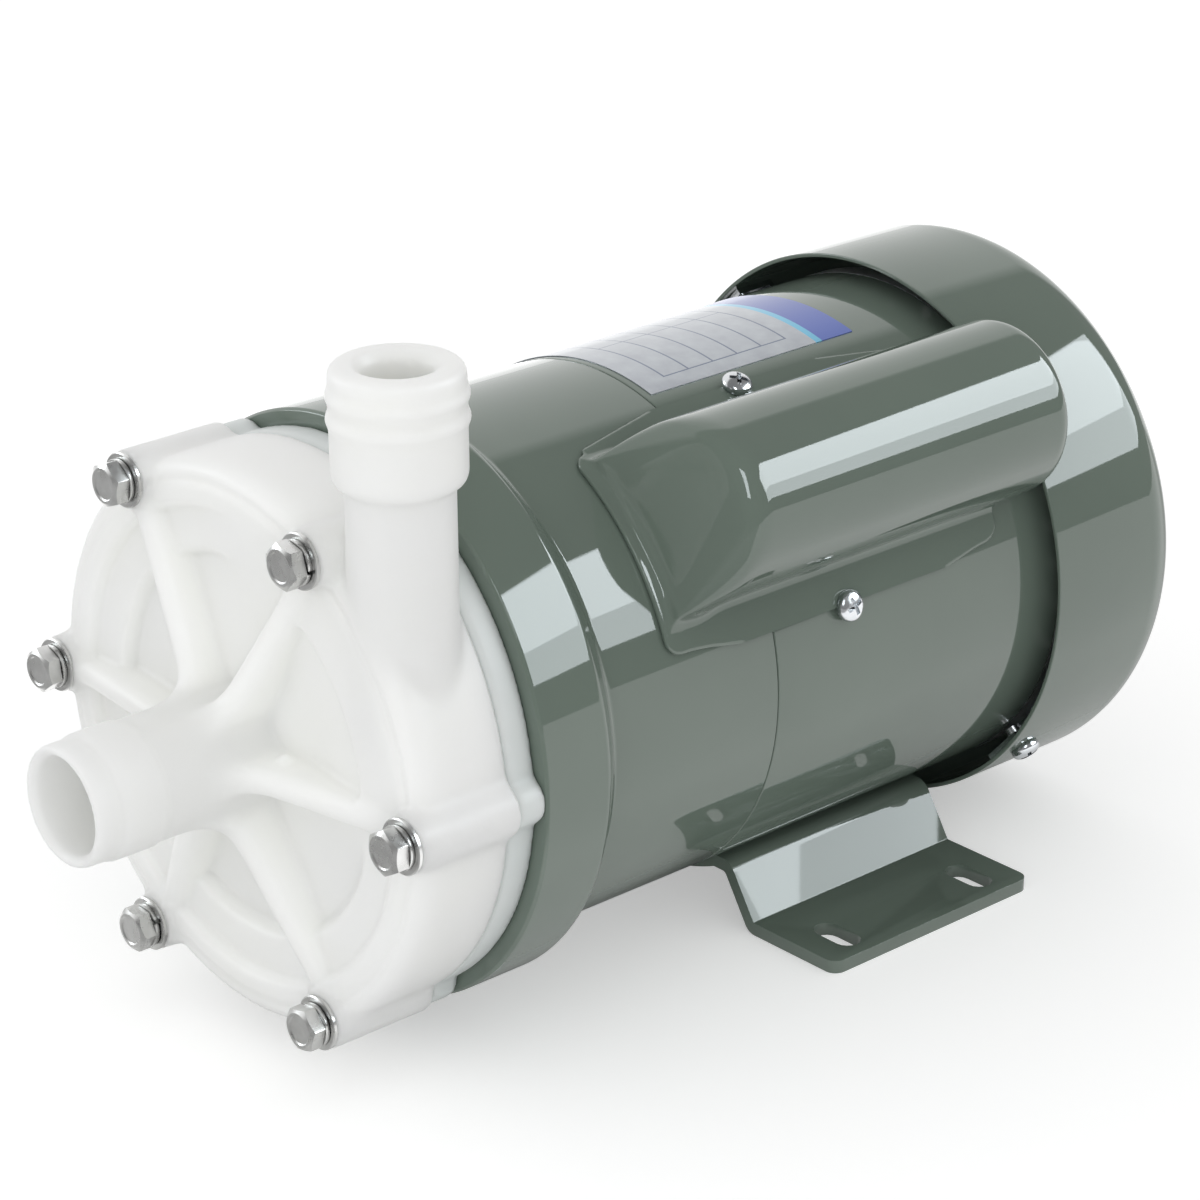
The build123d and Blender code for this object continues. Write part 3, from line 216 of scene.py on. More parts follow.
# Capacitor cover
HUMP_CLOCK = 48.0
HUMP_RADIUS = 20.6
HUMP_AXIS_RADIUS = 68.5
HUMP_CREST = 90.8
HUMP_REAR = 189.5
HUMP_REAR_ROUND = 4.6
HUMP_BLEND = 2.8
CREST_RADIUS = 7.0
NOSE_FRONT = 77.9
NOSE_FOOT = 59.8
NOSE_TAPER = 0.05
NOSE_SQUARENESS = 2.4
NOSE_LEAST_RISE = 0.04
COVER_SHEET = 1.2
COVER_FLANGE = (75.5, 178.0)
COVER_FLANGE_CLOCKS = (27.0, 73.0)
COVER_CORNER = 4.0
COVER_SCREWS = ((128.5, 75.4), (128.5, 22.6))
SCREW_TAB_RADIUS = 6.1
SCREW_TAB_HALF_BASE = 48.0
SCREW_TAB_INSET = 3.2
SCREW_TAB_DEPTH = 12.0
SCREW_TAB_BLEND = 1.0
GROMMET_AXIS_RADIUS = 76.5
GROMMET_HOLE = 5.0
COVER_BOX = ((23, -80, 88), (74, 40, 145))
COVER_STEP = 0.32

# Pan-head screws
PAN_RADIUS = 3.6
PAN_SIDE = 0.9
PAN_CROWN = 1.7
PAN_SHANK = 2.0
PAN_SHANK_LENGTH = 5.4
RECESS_HALF_LENGTH = 2.2
RECESS_HALF_WIDTH = 0.5
RECESS_FLOOR = 1.35

# Name plate, and its pattern in shares of the plate
PLATE_FROM_SEAM = 2.0
PLATE_LENGTH = 63.0
PLATE_CLOCKS = (-58.0, 16.5)
PLATE_THICKNESS = 0.2
LABEL_STRIPE = (0.815, 0.845)
LABEL_BAND = (0.845, 1.01)
LABEL_ROWS = [0.12 * row for row in range(1, 7)]
LABEL_ROW_RULE = 0.008
LABEL_COLUMNS = (0.06, 0.34, 0.66, 0.94)
LABEL_COLUMN_RULE = 0.005


# Mesh helpers
def station_y(station):
    return BOSS_FACE_Y + station


def new_object(name, vertices, faces):
    """Mesh object from millimetre vertices in the row frame."""
    mesh = bpy.data.meshes.new(name)
    vertices = np.asarray(vertices, dtype=np.float32) * MM
    mesh.from_pydata(vertices.tolist(), [], faces)
    mesh.validate()
    obj = bpy.data.objects.new(name, mesh)
    bpy.context.scene.collection.objects.link(obj)
    return obj


def shade(obj, angle=None):
    """Smooth shading, with edges sharper than the angle kept crisp."""
    obj.data.polygons.foreach_set("use_smooth", [True] * len(obj.data.polygons))
    if angle is not None:
        obj.data.set_sharp_from_angle(angle=radians(angle))
    return obj


def apply_modifiers(obj):
    depsgraph = bpy.context.evaluated_depsgraph_get()
    depsgraph.update()
    mesh = bpy.data.meshes.new_from_object(obj.evaluated_get(depsgraph))
    old = obj.data
    obj.modifiers.clear()
    obj.data = mesh
    bpy.data.meshes.remove(old)
    return obj


def bevel(obj, width, segments, angle=30.0):
    modifier = obj.modifiers.new("edge", "BEVEL")
    modifier.width = width * MM
    modifier.segments = segments
    modifier.limit_method = "ANGLE"
    modifier.angle_limit = radians(angle)
    modifier.harden_normals = False
    return apply_modifiers(obj)


def cut(obj, cutter, operation="DIFFERENCE"):
    """Boolean with a cutter, which is used up."""
    modifier = obj.modifiers.new("cut", "BOOLEAN")
    modifier.operation = operation
    modifier.solver = "EXACT"
    modifier.object = cutter
    apply_modifiers(obj)
    bpy.data.objects.remove(cutter)
    return obj


def joined(name, objects):
    """One object from the meshes of several, which are used up."""
    whole = bmesh.new()
    for obj in objects:
        whole.from_mesh(obj.data)
        bpy.data.objects.remove(obj)
    mesh = bpy.data.meshes.new(name)
    whole.to_mesh(mesh)
    whole.free()
    result = bpy.data.objects.new(name, mesh)
    bpy.context.scene.collection.objects.link(result)
    return result


def outward(obj):
    """Normals recalculated to face out."""
    form = bmesh.new()
    form.from_mesh(obj.data)
    bmesh.ops.recalc_face_normals(form, faces=form.faces)
    form.to_mesh(obj.data)
    form.free()
    return obj


def fillet_path(points, radii, steps=8):
    """Polyline with its inner corners rounded; radii holds one radius per inner corner."""
    points = [Vector(p) for p in points]
    path = [points[0]]
    for before, corner, after, radius in zip(points, points[1:], points[2:], radii):
        if radius <= 0:
            path.append(corner)
            continue
        to_before = (before - corner).normalized()
        to_after = (after - corner).normalized()
        half = to_before.angle(to_after) / 2
        reach = radius / tan(half)
        centre = corner + (to_before + to_after).normalized() * radius / sin(half)
        start = corner + to_before * reach - centre
        end = corner + to_after * reach - centre
        turn = start.angle_signed(end)
        for step in range(steps + 1):
            angle = -turn * step / steps
            path.append(centre + Matrix.Rotation(angle, 2) @ start)
    path.append(points[-1])
    return path


def closed_outline(corners):
    """Closed outline from corners given as (u, v, fillet radius)."""
    points = [Vector(corner[:2]) for corner in corners]
    radii = [corner[2] for corner in corners]
    first = (points[0] + points[-1]) / 2
    return fillet_path([first, *points, first], radii)[1:]


def rectangle(half_x, half_y):
    return [(-half_x, -half_y), (half_x, -half_y), (half_x, half_y), (-half_x, half_y)]


def slot_outline(length, width):
    """Rounded slot along local x."""
    reach = (length - width) / 2
    steps = 8
    outline = []
    for end in (1, -1):
        for step in range(steps + 1):
            angle = pi * (step / steps - 0.5) + (0 if end > 0 else pi)
            outline.append((end * reach + width / 2 * cos(angle), width / 2 * sin(angle)))
    return outline


def prism(name, outline, depth, placement):
    """Closed outline in local x, y extruded along local z from 0 to depth, then placed."""
    count = len(outline)
    lower = [placement @ Vector((p[0], p[1], 0)) for p in outline]
    upper = [placement @ Vector((p[0], p[1], depth)) for p in outline]
    sides = [(i, (i + 1) % count, count + (i + 1) % count, count + i) for i in range(count)]
    faces = [tuple(reversed(range(count))), tuple(range(count, 2 * count)), *sides]
    return outward(new_object(name, lower + upper, faces))


def revolved(name, outline, placement, segments=64):
    """Local profile of (height, radius) points turned about local z and placed."""
    vertices = []
    faces = []
    rings = {}
    for height, radius in outline:
        if (height, radius) in rings:
            continue
        count = segments if radius > 0 else 1
        rings[height, radius] = range(len(vertices), len(vertices) + count)
        for step in range(count):
            angle = 2 * pi * step / segments
            vertices.append(placement @ Vector((radius * cos(angle), radius * sin(angle), height)))
    path = [rings[height, radius] for height, radius in outline]
    for lower, upper in zip(path, path[1:]):
        for step in range(segments):
            following = (step + 1) % segments
            corners = [lower[step % len(lower)], lower[following % len(lower)]]
            corners += [upper[following % len(upper)], upper[step % len(upper)]]
            faces.append(tuple(dict.fromkeys(corners)))
    return outward(new_object(name, vertices, faces))


def placed(x_axis, y_axis, z_axis, origin):
    matrix = Matrix((x_axis, y_axis, z_axis)).transposed().to_4x4()
    matrix.translation = origin
    return matrix


def axial_placement(clock, radius, station):
    """Local z runs rearwards along the shaft, local x points away from it."""
    out = Vector((sin(radians(clock)), 0, cos(radians(clock))))
    along = Vector((0, 1, 0))
    origin = out * radius + Vector((0, station_y(station), SHAFT_HEIGHT))
    return placed(out, along.cross(out), along, origin)


def radial_placement(clock, radius, station):
    """Local z points away from the shaft, local x runs rearwards along it."""
    swapped = Matrix(((0, 0, 1), (0, -1, 0), (1, 0, 0))).to_4x4()
    return axial_placement(clock, radius, station) @ swapped


def lathe(name, outline):
    """Ring about the shaft from a closed outline of (station, radius) points."""
    return revolved(name, [*outline, outline[0]], axial_placement(0, 0, 0), LATHE_SEGMENTS)


# Distance fields
def smooth_union(a, b, blend):
    share = np.clip(0.5 + 0.5 * (b - a) / blend, 0, 1)
    return b + (a - b) * share - blend * share * (1 - share)


def smooth_common(a, b, blend):
    return -smooth_union(-a, -b, blend)


def step_up(value, low, high):
    """0 below low, 1 above high, smooth between."""
    share = np.clip((value - low) / (high - low), 0, 1)
    return share * share * (3 - 2 * share)


def as_distance(field, step):
    """Field on a grid of the given step, rescaled so that it changes by one per millimetre."""
    least_slope = 0.25
    slope = np.sqrt(sum(part**2 for part in np.gradient(field, step)))
    return field / np.maximum(slope, least_slope)


def soften(field):
    """Small rounding of every edge: each grid value is averaged with its neighbours."""
    for axis in range(3):
        layers = np.moveaxis(field, axis, 0)
        mixed = layers.copy()
        mixed[1:-1] = 0.5 * layers[1:-1] + 0.25 * (layers[:-2] + layers[2:])
        field = np.moveaxis(mixed, 0, axis)
    return field


def surface_net(name, field, box, step):
    """Closed quad mesh of the zero surface of a distance field, negative inside, by surface nets."""
    low, high = box
    axes = [np.arange(a, b + step, step, dtype=np.float32) for a, b in zip(low, high)]
    grid = np.meshgrid(*axes, indexing="ij", sparse=True)
    distance = soften(field(*grid).astype(np.float32))
    inside = distance < 0
    cells = tuple(n - 1 for n in distance.shape)
    corners = [np.array(corner) for corner in np.ndindex(2, 2, 2)]
    filled = np.zeros(cells, dtype=np.int8)
    for corner in corners:
        filled += inside[tuple(slice(o, o + n) for o, n in zip(corner, cells))]
    active = (filled > 0) & (filled < 8)
    cell = np.argwhere(active)
    unit = np.eye(3, dtype=int)
    total = np.zeros((len(cell), 3))
    hits = np.zeros(len(cell))
    for start in corners:
        for axis in range(3):
            if start[axis]:
                continue
            end = start + unit[axis]
            value_start = distance[tuple((cell + start).T)]
            value_end = distance[tuple((cell + end).T)]
            crossing = (value_start < 0) != (value_end < 0)
            change = np.where(crossing, value_start - value_end, 1)
            share = np.where(crossing, value_start / change, 0)
            total += (start + share[:, None] * (end - start)) * crossing[:, None]
            hits += crossing
    place = cell + total / hits[:, None]
    vertices = np.array(low) + step * place
    index = np.full(cells, -1, dtype=np.int64)
    index[active] = np.arange(len(cell))
    quads = []
    for axis in range(3):
        u, v = (axis + 1) % 3, (axis + 2) % 3
        changes = np.argwhere(np.diff(inside, axis=axis))
        keep = (changes[:, u] > 0) & (changes[:, v] > 0)
        keep &= (changes[:, u] < cells[u]) & (changes[:, v] < cells[v])
        changes = changes[keep]
        around = [changes - unit[u] - unit[v], changes - unit[v], changes, changes - unit[u]]
        quad = np.stack([index[tuple(c.T)] for c in around], axis=-1)
        leaving = inside[tuple(changes.T)]
        quad[~leaving] = quad[~leaving][:, ::-1]
        quads.append(quad)
    obj = shade(new_object(name, vertices, np.concatenate(quads).tolist()))
    normals = field_normals(distance, cell, place - cell)
    obj.data.normals_split_custom_set_from_vertices(normals.tolist())
    return obj


def field_normals(distance, cell, within_cell):
    """Outward unit normals: the slope of the field at a place in each cell, from its eight corners."""
    normals = np.zeros((len(cell), 3))
    for axis in range(3):
        slope = np.gradient(distance, axis=axis)
        for corner in np.ndindex(2, 2, 2):
            weight = np.prod(np.where(corner, within_cell, 1 - within_cell), axis=1)
            normals[:, axis] += weight * slope[tuple((cell + corner).T)]
    return normals / np.linalg.norm(normals, axis=1, keepdims=True)


def shaft_polar(x, y, z):
    """Station, radius and clock angle of each grid point."""
    height = z - SHAFT_HEIGHT
    return y - BOSS_FACE_Y, np.hypot(x, height), np.degrees(np.arctan2(x, height))


def at_bolts(radius, clock):
    """Radial and sideways distance in the frame of the nearest casing bolt."""
    turn = np.radians(clock % (360 / BOLT_COUNT) - 180 / BOLT_COUNT)
    return radius * np.cos(turn), radius * np.sin(turn)


# Casing mouldings
def casing_front(radius, clock):
    """Station of the front face: a stepped dish, with a ramp, a pad and a slope near the outlet."""
    depth = RECESS_DEPTH + DISH_DEPTH
    recess = RECESS_DEPTH * step_up(RIM_INNER - radius, *RIM_EDGE)
    stepped = recess + DISH_DEPTH * step_up(DISH_RADIUS - radius, *DISH_EDGE)
    ramp = depth * step_up(RAMP_RADIUS - radius, *RAMP_RUN)
    pad = PAD_STEP * step_up(PAD_RADIUS - radius, *PAD_EDGE)
    pad += (depth - PAD_STEP) * step_up(DISH_RADIUS - radius, *PAD_RUN)
    slope = recess + (depth - recess) * step_up(DISH_RADIUS - radius, *FADE_RUN)
    past_ramp = step_up(clock, *PAD_FIRST_CLOCKS)
    past_pad = step_up(clock, *PAD_LAST_CLOCKS)
    face = stepped + (ramp - stepped) * (step_up(clock, *RAMP_CLOCKS) * (1 - past_ramp))
    face += (pad - stepped) * (past_ramp * (1 - past_pad))
    face += (slope - stepped) * (past_pad * (1 - step_up(clock, *FADE_CLOCKS)))
    face -= HUB_CONE * np.clip((DISH_RADIUS - radius) / HUB_CONE_RUN, 0, 1)
    groove = np.exp(-(((radius - RIM_GROOVE_RADIUS) / RIM_GROOVE_WIDTH) ** 2))
    return RIM_STATION + face + RIM_GROOVE_DEPTH * groove


def inlet_pipe(station, radius):
    """Inlet nozzle with a slightly raised band for the hose clamp."""
    onto_band = step_up(station, BAND_FRONT - BAND_EDGE, BAND_FRONT + BAND_EDGE)
    off_band = step_up(station, BAND_REAR - BAND_EDGE, BAND_REAR + BAND_EDGE)
    pipe_radius = INLET_RADIUS + BAND_RISE * onto_band - BAND_FALL * off_band
    return smooth_common(radius - pipe_radius, INLET_TIP - station, INLET_ROUND)


def ribs(station, out, side, clock):
    """Round-topped ribs from the hub to the bosses, which climb less in FLAT_RIB_CLOCKS."""
    flat = (clock > FLAT_RIB_CLOCKS[0]) & (clock < FLAT_RIB_CLOCKS[1])
    along = out - RIB_START
    crest = np.where(flat, FLAT_RIB_CREST + FLAT_RIB_SLOPE * along, RIB_CREST + RIB_SLOPE * along)
    crest = crest - HUB_CLIMB * np.exp(-(out - HUB_CLIMB_START) / HUB_CLIMB_LENGTH)
    below = station - crest - RIB_HALF_WIDTH
    rib = np.hypot(side, np.minimum(0, below)) - RIB_HALF_WIDTH - RIB_DRAFT * np.maximum(0, below)
    return np.maximum(np.maximum(rib, out - BOLT_CIRCLE), RIB_INNER - out)


def outlet_collar(height, away):
    """Hose collar with two low barbs."""
    ridges = sum(BARB_RISE * np.exp(-(((height - barb) / BARB_HALF_WIDTH) ** 2)) for barb in BARB_HEIGHTS)
    collar = smooth_common(away - COLLAR_RADIUS - ridges, COLLAR_BOTTOM - height, COLLAR_BOTTOM_ROUND)
    return smooth_common(collar, height - OUTLET_TOP, COLLAR_TOP_ROUND)


def casing_hollow(station, radius, clock, height, away):
    """Inlet bore, volute chamber and outlet bore."""
    mouth = MOUTH_FLARE * step_up(INLET_TIP + MOUTH_DEPTH - station, 0.0, MOUTH_DEPTH)
    cone = INLET_CONE * step_up(station, *INLET_CONE_STATIONS)
    inlet = np.maximum(radius - INLET_BORE - mouth - cone, station - CHAMBER_FRONT - 1)
    growth = VOLUTE_GROWTH * ((clock - VOLUTE_START) % 360) / 360
    chamber = np.maximum(radius - CHAMBER_RADIUS - growth, CHAMBER_FRONT - station)
    flare = OUTLET_FLARE * step_up(height, OUTLET_TOP - OUTLET_FLARE_DEPTH, OUTLET_TOP)
    outlet = np.maximum(away - OUTLET_BORE - flare, OUTLET_BORE_FOOT - height)
    return np.minimum(np.minimum(inlet, chamber), outlet)


def spindle_spider(station, radius, clock):
    """Boss and three vanes that carry the front end of the spindle."""
    from_vane = (clock + SPIDER_VANE_SPACING / 2) % SPIDER_VANE_SPACING - SPIDER_VANE_SPACING / 2
    vane = radius * np.sin(np.radians(np.abs(from_vane))) - SPIDER_VANE_HALF
    form = np.minimum(radius - SPIDER_RADIUS, np.maximum(vane, radius - SPIDER_VANE_REACH))
    return np.maximum(form, np.maximum(SPIDER_STATIONS[0] - station, station - SPIDER_STATIONS[1]))


def casing_field(x, y, z):
    """Front casing with its nozzles, ribs, bosses and gate mark."""
    station, radius, clock = shaft_polar(x, y, z)
    out, side = at_bolts(radius, clock)
    height = z - SHAFT_HEIGHT
    away = np.hypot(x - OUTLET_X, station - OUTLET_STATION)
    from_bolt = np.hypot(out - BOLT_CIRCLE, side)

    body = smooth_common(casing_front(radius, clock) - station, radius - CASING_RADIUS, CASING_ROUND)
    body = smooth_union(body, inlet_pipe(station, radius), HUB_FLARE)
    body = smooth_union(body, ribs(station, out, side, clock), RIB_BLEND)
    body = smooth_union(body, np.maximum(from_bolt - BOSS_RADIUS, -station), BOSS_BLEND)
    pipe_ends = np.maximum(OUTLET_ROOT - height, height - OUTLET_TOP + OUTLET_PIPE_SETBACK)
    body = smooth_union(body, np.maximum(away - OUTLET_PIPE, pipe_ends), OUTLET_BLEND)
    body = np.maximum(body, station - CASING_SPLIT)
    body = smooth_union(body, outlet_collar(height, away), COLLAR_BLEND)
    up_gate = (height - GATE_HEIGHT) / GATE_STRETCH
    gate = np.sqrt((x - GATE_X) ** 2 + up_gate**2 + (station - GATE_STATION) ** 2) - GATE_RADIUS
    body = smooth_union(body, gate, GATE_BLEND)

    hollow = np.minimum(casing_hollow(station, radius, clock, height, away), from_bolt - BOLT_HOLE)
    return np.minimum(np.maximum(body, -hollow), spindle_spider(station, radius, clock))


def rear_casing_field(x, y, z):
    """Flange with its lugs, and the can that keeps the liquid from the drive magnets."""
    station, radius, clock = shaft_polar(x, y, z)
    out, side = at_bolts(radius, clock)
    ahead = CASING_SPLIT - station
    flange = smooth_common(radius - CASING_RADIUS, ahead, 1.0)
    lug = np.maximum(np.hypot(out - BOLT_CIRCLE, side) - LUG_RADIUS, ahead)
    flange = np.maximum(smooth_union(flange, lug, LUG_BLEND), station - FLANGE_REAR)
    can = np.maximum(radius - CAN_RADIUS, np.maximum(station - CAN_END, ahead))
    bore = np.maximum(radius - CAN_BORE, station - CAN_END + CAN_FLOOR)
    return np.maximum(np.minimum(flange, can), -bore)


casing = surface_net("front_casing_moulding", casing_field, CASING_BOX, CASING_STEP)
rear_casing = surface_net("rear_casing_moulding", rear_casing_field, REAR_CASING_BOX, REAR_CASING_STEP)


# Casing bolts and washers
def bolt(clock, turn):
    """Hexagon head with a chamfered, slightly dished face, and a plain shank."""
    place = axial_placement(clock, BOLT_CIRCLE, -BOLT_STACK) @ Matrix.Rotation(radians(turn), 4, "Z")
    corner = BOLT_HALF_FLATS / cos(pi / 6)
    hexagon = [(corner * cos(pi * i / 3), corner * sin(pi * i / 3)) for i in range(6)]
    head = bevel(prism("head", hexagon, BOLT_HEAD, place), 0.2, 2)
    cone = [(5.0, 0.0), (5.0, 6.0), (1.15, 6.0), (0.0, 4.0)]
    dish = [(0.0, 3.4), (0.25, 3.1), (0.3, 0.0)]
    cut(head, revolved("chamfer", cone + dish, place), operation="INTERSECT")
    under = BOLT_HEAD - 0.1
    rod = [(under, 0.0), (under, BOLT_SHANK), (BOLT_END, BOLT_SHANK), (BOLT_END, 0.0)]
    shank = revolved("shank", rod, place, 32)
    return [shade(head, 25), shade(shank, 25)]


def flat_washer(clock):
    """Ring with its outer edges chamfered."""
    place = axial_placement(clock, BOLT_CIRCLE, -WASHER_SHEET)
    flat = WASHER_RADIUS - WASHER_CHAMFER
    edge = 0.88 * WASHER_CHAMFER
    ring = [(0.0, WASHER_BORE), (0.0, flat), (edge, WASHER_RADIUS), (WASHER_SHEET - edge, WASHER_RADIUS)]
    ring += [(WASHER_SHEET, flat), (WASHER_SHEET, WASHER_BORE), (0.0, WASHER_BORE)]
    return shade(revolved("washer", ring, place, 72), 40)


def spring_washer(clock, gap_angle):
    """Square wire in an open turn, its two ends a little out of line."""
    place = axial_placement(clock, BOLT_CIRCLE, -SPRING_WASHER_FRONT)
    gap = radians(9)
    front, rear, twist = 0.12, 1.18, 0.25
    section = [(WASHER_BORE, front), (SPRING_WASHER_RADIUS, front)]
    section += [(SPRING_WASHER_RADIUS, rear), (WASHER_BORE, rear)]
    steps = 72
    vertices = []
    faces = []
    for step in range(steps + 1):
        share = step / steps
        angle = radians(gap_angle) + gap / 2 + (2 * pi - gap) * share
        lift = twist * (share - 0.5)
        for radius, height in section:
            vertices.append(place @ Vector((radius * cos(angle), radius * sin(angle), height + lift)))
    for step in range(steps):
        base = 4 * step
        for side in range(4):
            after = (side + 1) % 4
            faces.append((base + side, base + after, base + 4 + after, base + 4 + side))
    faces += [(0, 1, 2, 3), tuple(4 * steps + i for i in (3, 2, 1, 0))]
    ring = outward(new_object("ring", vertices, faces))
    return shade(bevel(ring, 0.18, 2), 30)


bolt_clocks = [30 + 60 * index for index in range(BOLT_COUNT)]
bolt_parts = [part for i, clock in enumerate(bolt_clocks) for part in bolt(clock, turn=13 + 17 * i)]
bolts = joined("casing_bolts_turned", bolt_parts)
washers = joined("flat_washers_pressed", [flat_washer(clock) for clock in bolt_clocks])
spring_turns = [spring_washer(clock, gap_angle=70 + 47 * i) for i, clock in enumerate(bolt_clocks)]
rings = joined("spring_washers_split", spring_turns)


# Motor bracket, shell and fan cover
def make_bracket():
    """Ring for the casing bolts, taper, housing, bearing web and the spigot for the shell."""
    chamfer = 0.6
    chamfer_length = 0.7
    ring_bore = 46.0
    ring_floor = 47.5
    housing_bore = 57.2
    web_front = 98.0
    web_rear = 104.0
    bearing_bore = 17.5
    spigot_bore = 53.9
    spigot_radius = 59.3
    spigot_rear = SEAM + 5.0
    shoulder = SEAM - SEAM_HALF_GAP
    section = [(FLANGE_REAR, ring_bore, 0.4), (FLANGE_REAR, RING_RADIUS - chamfer, 0.5)]
    section += [(FLANGE_REAR + chamfer_length, RING_RADIUS, 0.6), (RING_REAR, RING_RADIUS, 2.6)]
    section += [(TAPER_REAR, SHELL_RADIUS, 2.6), (shoulder, SHELL_RADIUS, 0.35)]
    section += [(shoulder, spigot_radius, 0), (spigot_rear, spigot_radius, 0.5)]
    section += [(spigot_rear, spigot_bore, 0.5), (web_rear, spigot_bore, 1)]
    section += [(web_rear, bearing_bore, 0.5), (web_front, bearing_bore, 0.5)]
    section += [(web_front, housing_bore, 3), (ring_floor, housing_bore, 3)]
    section += [(ring_floor, ring_bore, 0.5)]
    return lathe("motor_bracket_turned", closed_outline(section))


def make_shell():
    front = SEAM + SEAM_HALF_GAP
    section = [(front, SHELL_BORE, 0.2), (front, SHELL_RADIUS, 0.35)]
    section += [(SHELL_REAR, SHELL_RADIUS, 0.35), (SHELL_REAR, SHELL_BORE, 0.2)]
    return lathe("motor_shell_tube", closed_outline(section))


def make_fan_cover():
    """Drawn cup, with two rings of slots in its rear wall."""
    centre = 0.01
    bore = RING_RADIUS - FAN_COVER_SHEET
    inner_rear = FAN_COVER_REAR - FAN_COVER_SHEET
    points = [(FAN_COVER_REAR, centre), (FAN_COVER_REAR, RING_RADIUS), (FAN_COVER_FRONT, RING_RADIUS)]
    points += [(FAN_COVER_FRONT, bore), (inner_rear, bore), (inner_rear, centre)]
    fillets = [FAN_COVER_CORNER, 0.3, 0.3, FAN_COVER_CORNER - FAN_COVER_SHEET]
    fan_cover = lathe("fan_cover_drawn", fillet_path(points, fillets, 16))
    slots = []
    for count, inner, outer in GRILLE_ROWS:
        outline = slot_outline(outer - inner, GRILLE_SLOT_WIDTH)
        for index in range(count):
            place = axial_placement(360 / count * index, (inner + outer) / 2, FAN_COVER_REAR - 6)
            slots.append(prism("slot", outline, 12.0, place))
    return cut(fan_cover, joined("slots", slots))


bracket = make_bracket()
shell = make_shell()
fan_cover = make_fan_cover()
for obj in (bracket, shell, fan_cover):
    shade(obj, 35)


# Foot: one bent sheet. The path is its underside, in x and z from the row origin.
def foot_path():
    """Right half, from the middle of the saddle to the end of the flange."""
    seat = SHELL_SEAT + FOOT_SHEET
    steps = 24
    angles = [radians(SADDLE_HALF_ANGLE) * step / steps for step in range(steps + 1)]
    arc = [Vector((seat * sin(angle), SHAFT_HEIGHT - seat * cos(angle))) for angle in angles]
    edge = arc.pop()
    web_x = edge[0] + FOOT_SHELF
    base_x = web_x + edge[1] * tan(radians(FOOT_WEB_LEAN))
    leg = [edge, (web_x, edge[1]), (base_x, 0.0), (FOOT_HALF_WIDTH, 0.0)]
    return arc + fillet_path(leg, FOOT_BENDS)


def offset_path(path, amount):
    """Path shifted to its left, each point along the mean normal of its two runs."""
    shifted = []
    for index, point in enumerate(path):
        before = path[max(index - 1, 0)]
        after = path[min(index + 1, len(path) - 1)]
        direction = (after - before).normalized()
        shifted.append(point + Vector((-direction.y, direction.x)) * amount)
    return shifted


def both_halves(path):
    """Path with its mirror image before it."""
    return [Vector((-p.x, p.y)) for p in reversed(path[1:])] + path


def make_foot():
    right = foot_path()
    outline = both_halves(right) + both_halves(offset_path(right, FOOT_SHEET))[::-1]
    front = Vector((0, FOOT_HALF_LENGTH, 0))
    upright = placed(Vector((1, 0, 0)), Vector((0, 0, 1)), Vector((0, -1, 0)), front)
    foot = prism("base_foot_bent", outline, 2 * FOOT_HALF_LENGTH, upright)
    below = -5.0
    corners = [(x, y, FOOT_CORNER) for x, y in rectangle(FOOT_HALF_WIDTH, FOOT_HALF_LENGTH)]
    blank = prism("blank", closed_outline(corners), 40.0, Matrix.Translation((0, 0, below)))
    slot = slot_outline(FOOT_SLOT_LENGTH, FOOT_SLOT_WIDTH)
    slots = []
    for x in (-FOOT_SLOT_X, FOOT_SLOT_X):
        for y in (-FOOT_SLOT_Y, FOOT_SLOT_Y):
            slots.append(prism("slot", slot, 20.0, Matrix.Translation((x, y, below))))
    cut(foot, blank, operation="INTERSECT")
    cut(foot, joined("slots", slots))
    return shade(bevel(foot, 0.45, 3, 40), 40)


foot = make_foot()


# Capacitor cover: hump with a sloped nose, blended into its flange
def nose_rise(station):
    """Share of the full height along the nose: a straight slope, an arc over the crest, then level."""
    height = HUMP_AXIS_RADIUS + HUMP_RADIUS - NOSE_FOOT
    slope = atan2(height, HUMP_CREST - NOSE_FRONT)
    reach = CREST_RADIUS * tan(slope / 2)
    to_level = np.clip(HUMP_CREST + reach - station, 0, CREST_RADIUS)
    arc = 1 - (CREST_RADIUS - np.sqrt(CREST_RADIUS**2 - to_level**2)) / height
    straight = (station - NOSE_FRONT) / (HUMP_CREST - NOSE_FRONT)
    return np.where(station < HUMP_CREST - reach * cos(slope), straight, arc)


def hump_field(station, around, out):
    """Round section on flat sides, which gets lower, squarer and a little narrower along the nose."""
    rise = np.maximum(nose_rise(station), NOSE_LEAST_RISE)
    lifted = NOSE_FOOT + (out - NOSE_FOOT) / rise
    narrowed = 1 - NOSE_TAPER * (1 - np.minimum(rise, 1)) ** 2
    power = 2 + NOSE_SQUARENESS * (1 - np.minimum(rise, 1))
    section = np.abs(around / narrowed) ** power + np.abs(lifted - HUMP_AXIS_RADIUS) ** power
    section = section ** (1 / power) - HUMP_RADIUS
    hump = np.maximum(as_distance(section, COVER_STEP), np.abs(around) - narrowed * HUMP_RADIUS)
    hump = np.maximum(hump, NOSE_FRONT + 1.0 - station)
    return smooth_common(hump, station - HUMP_REAR, HUMP_REAR_ROUND)


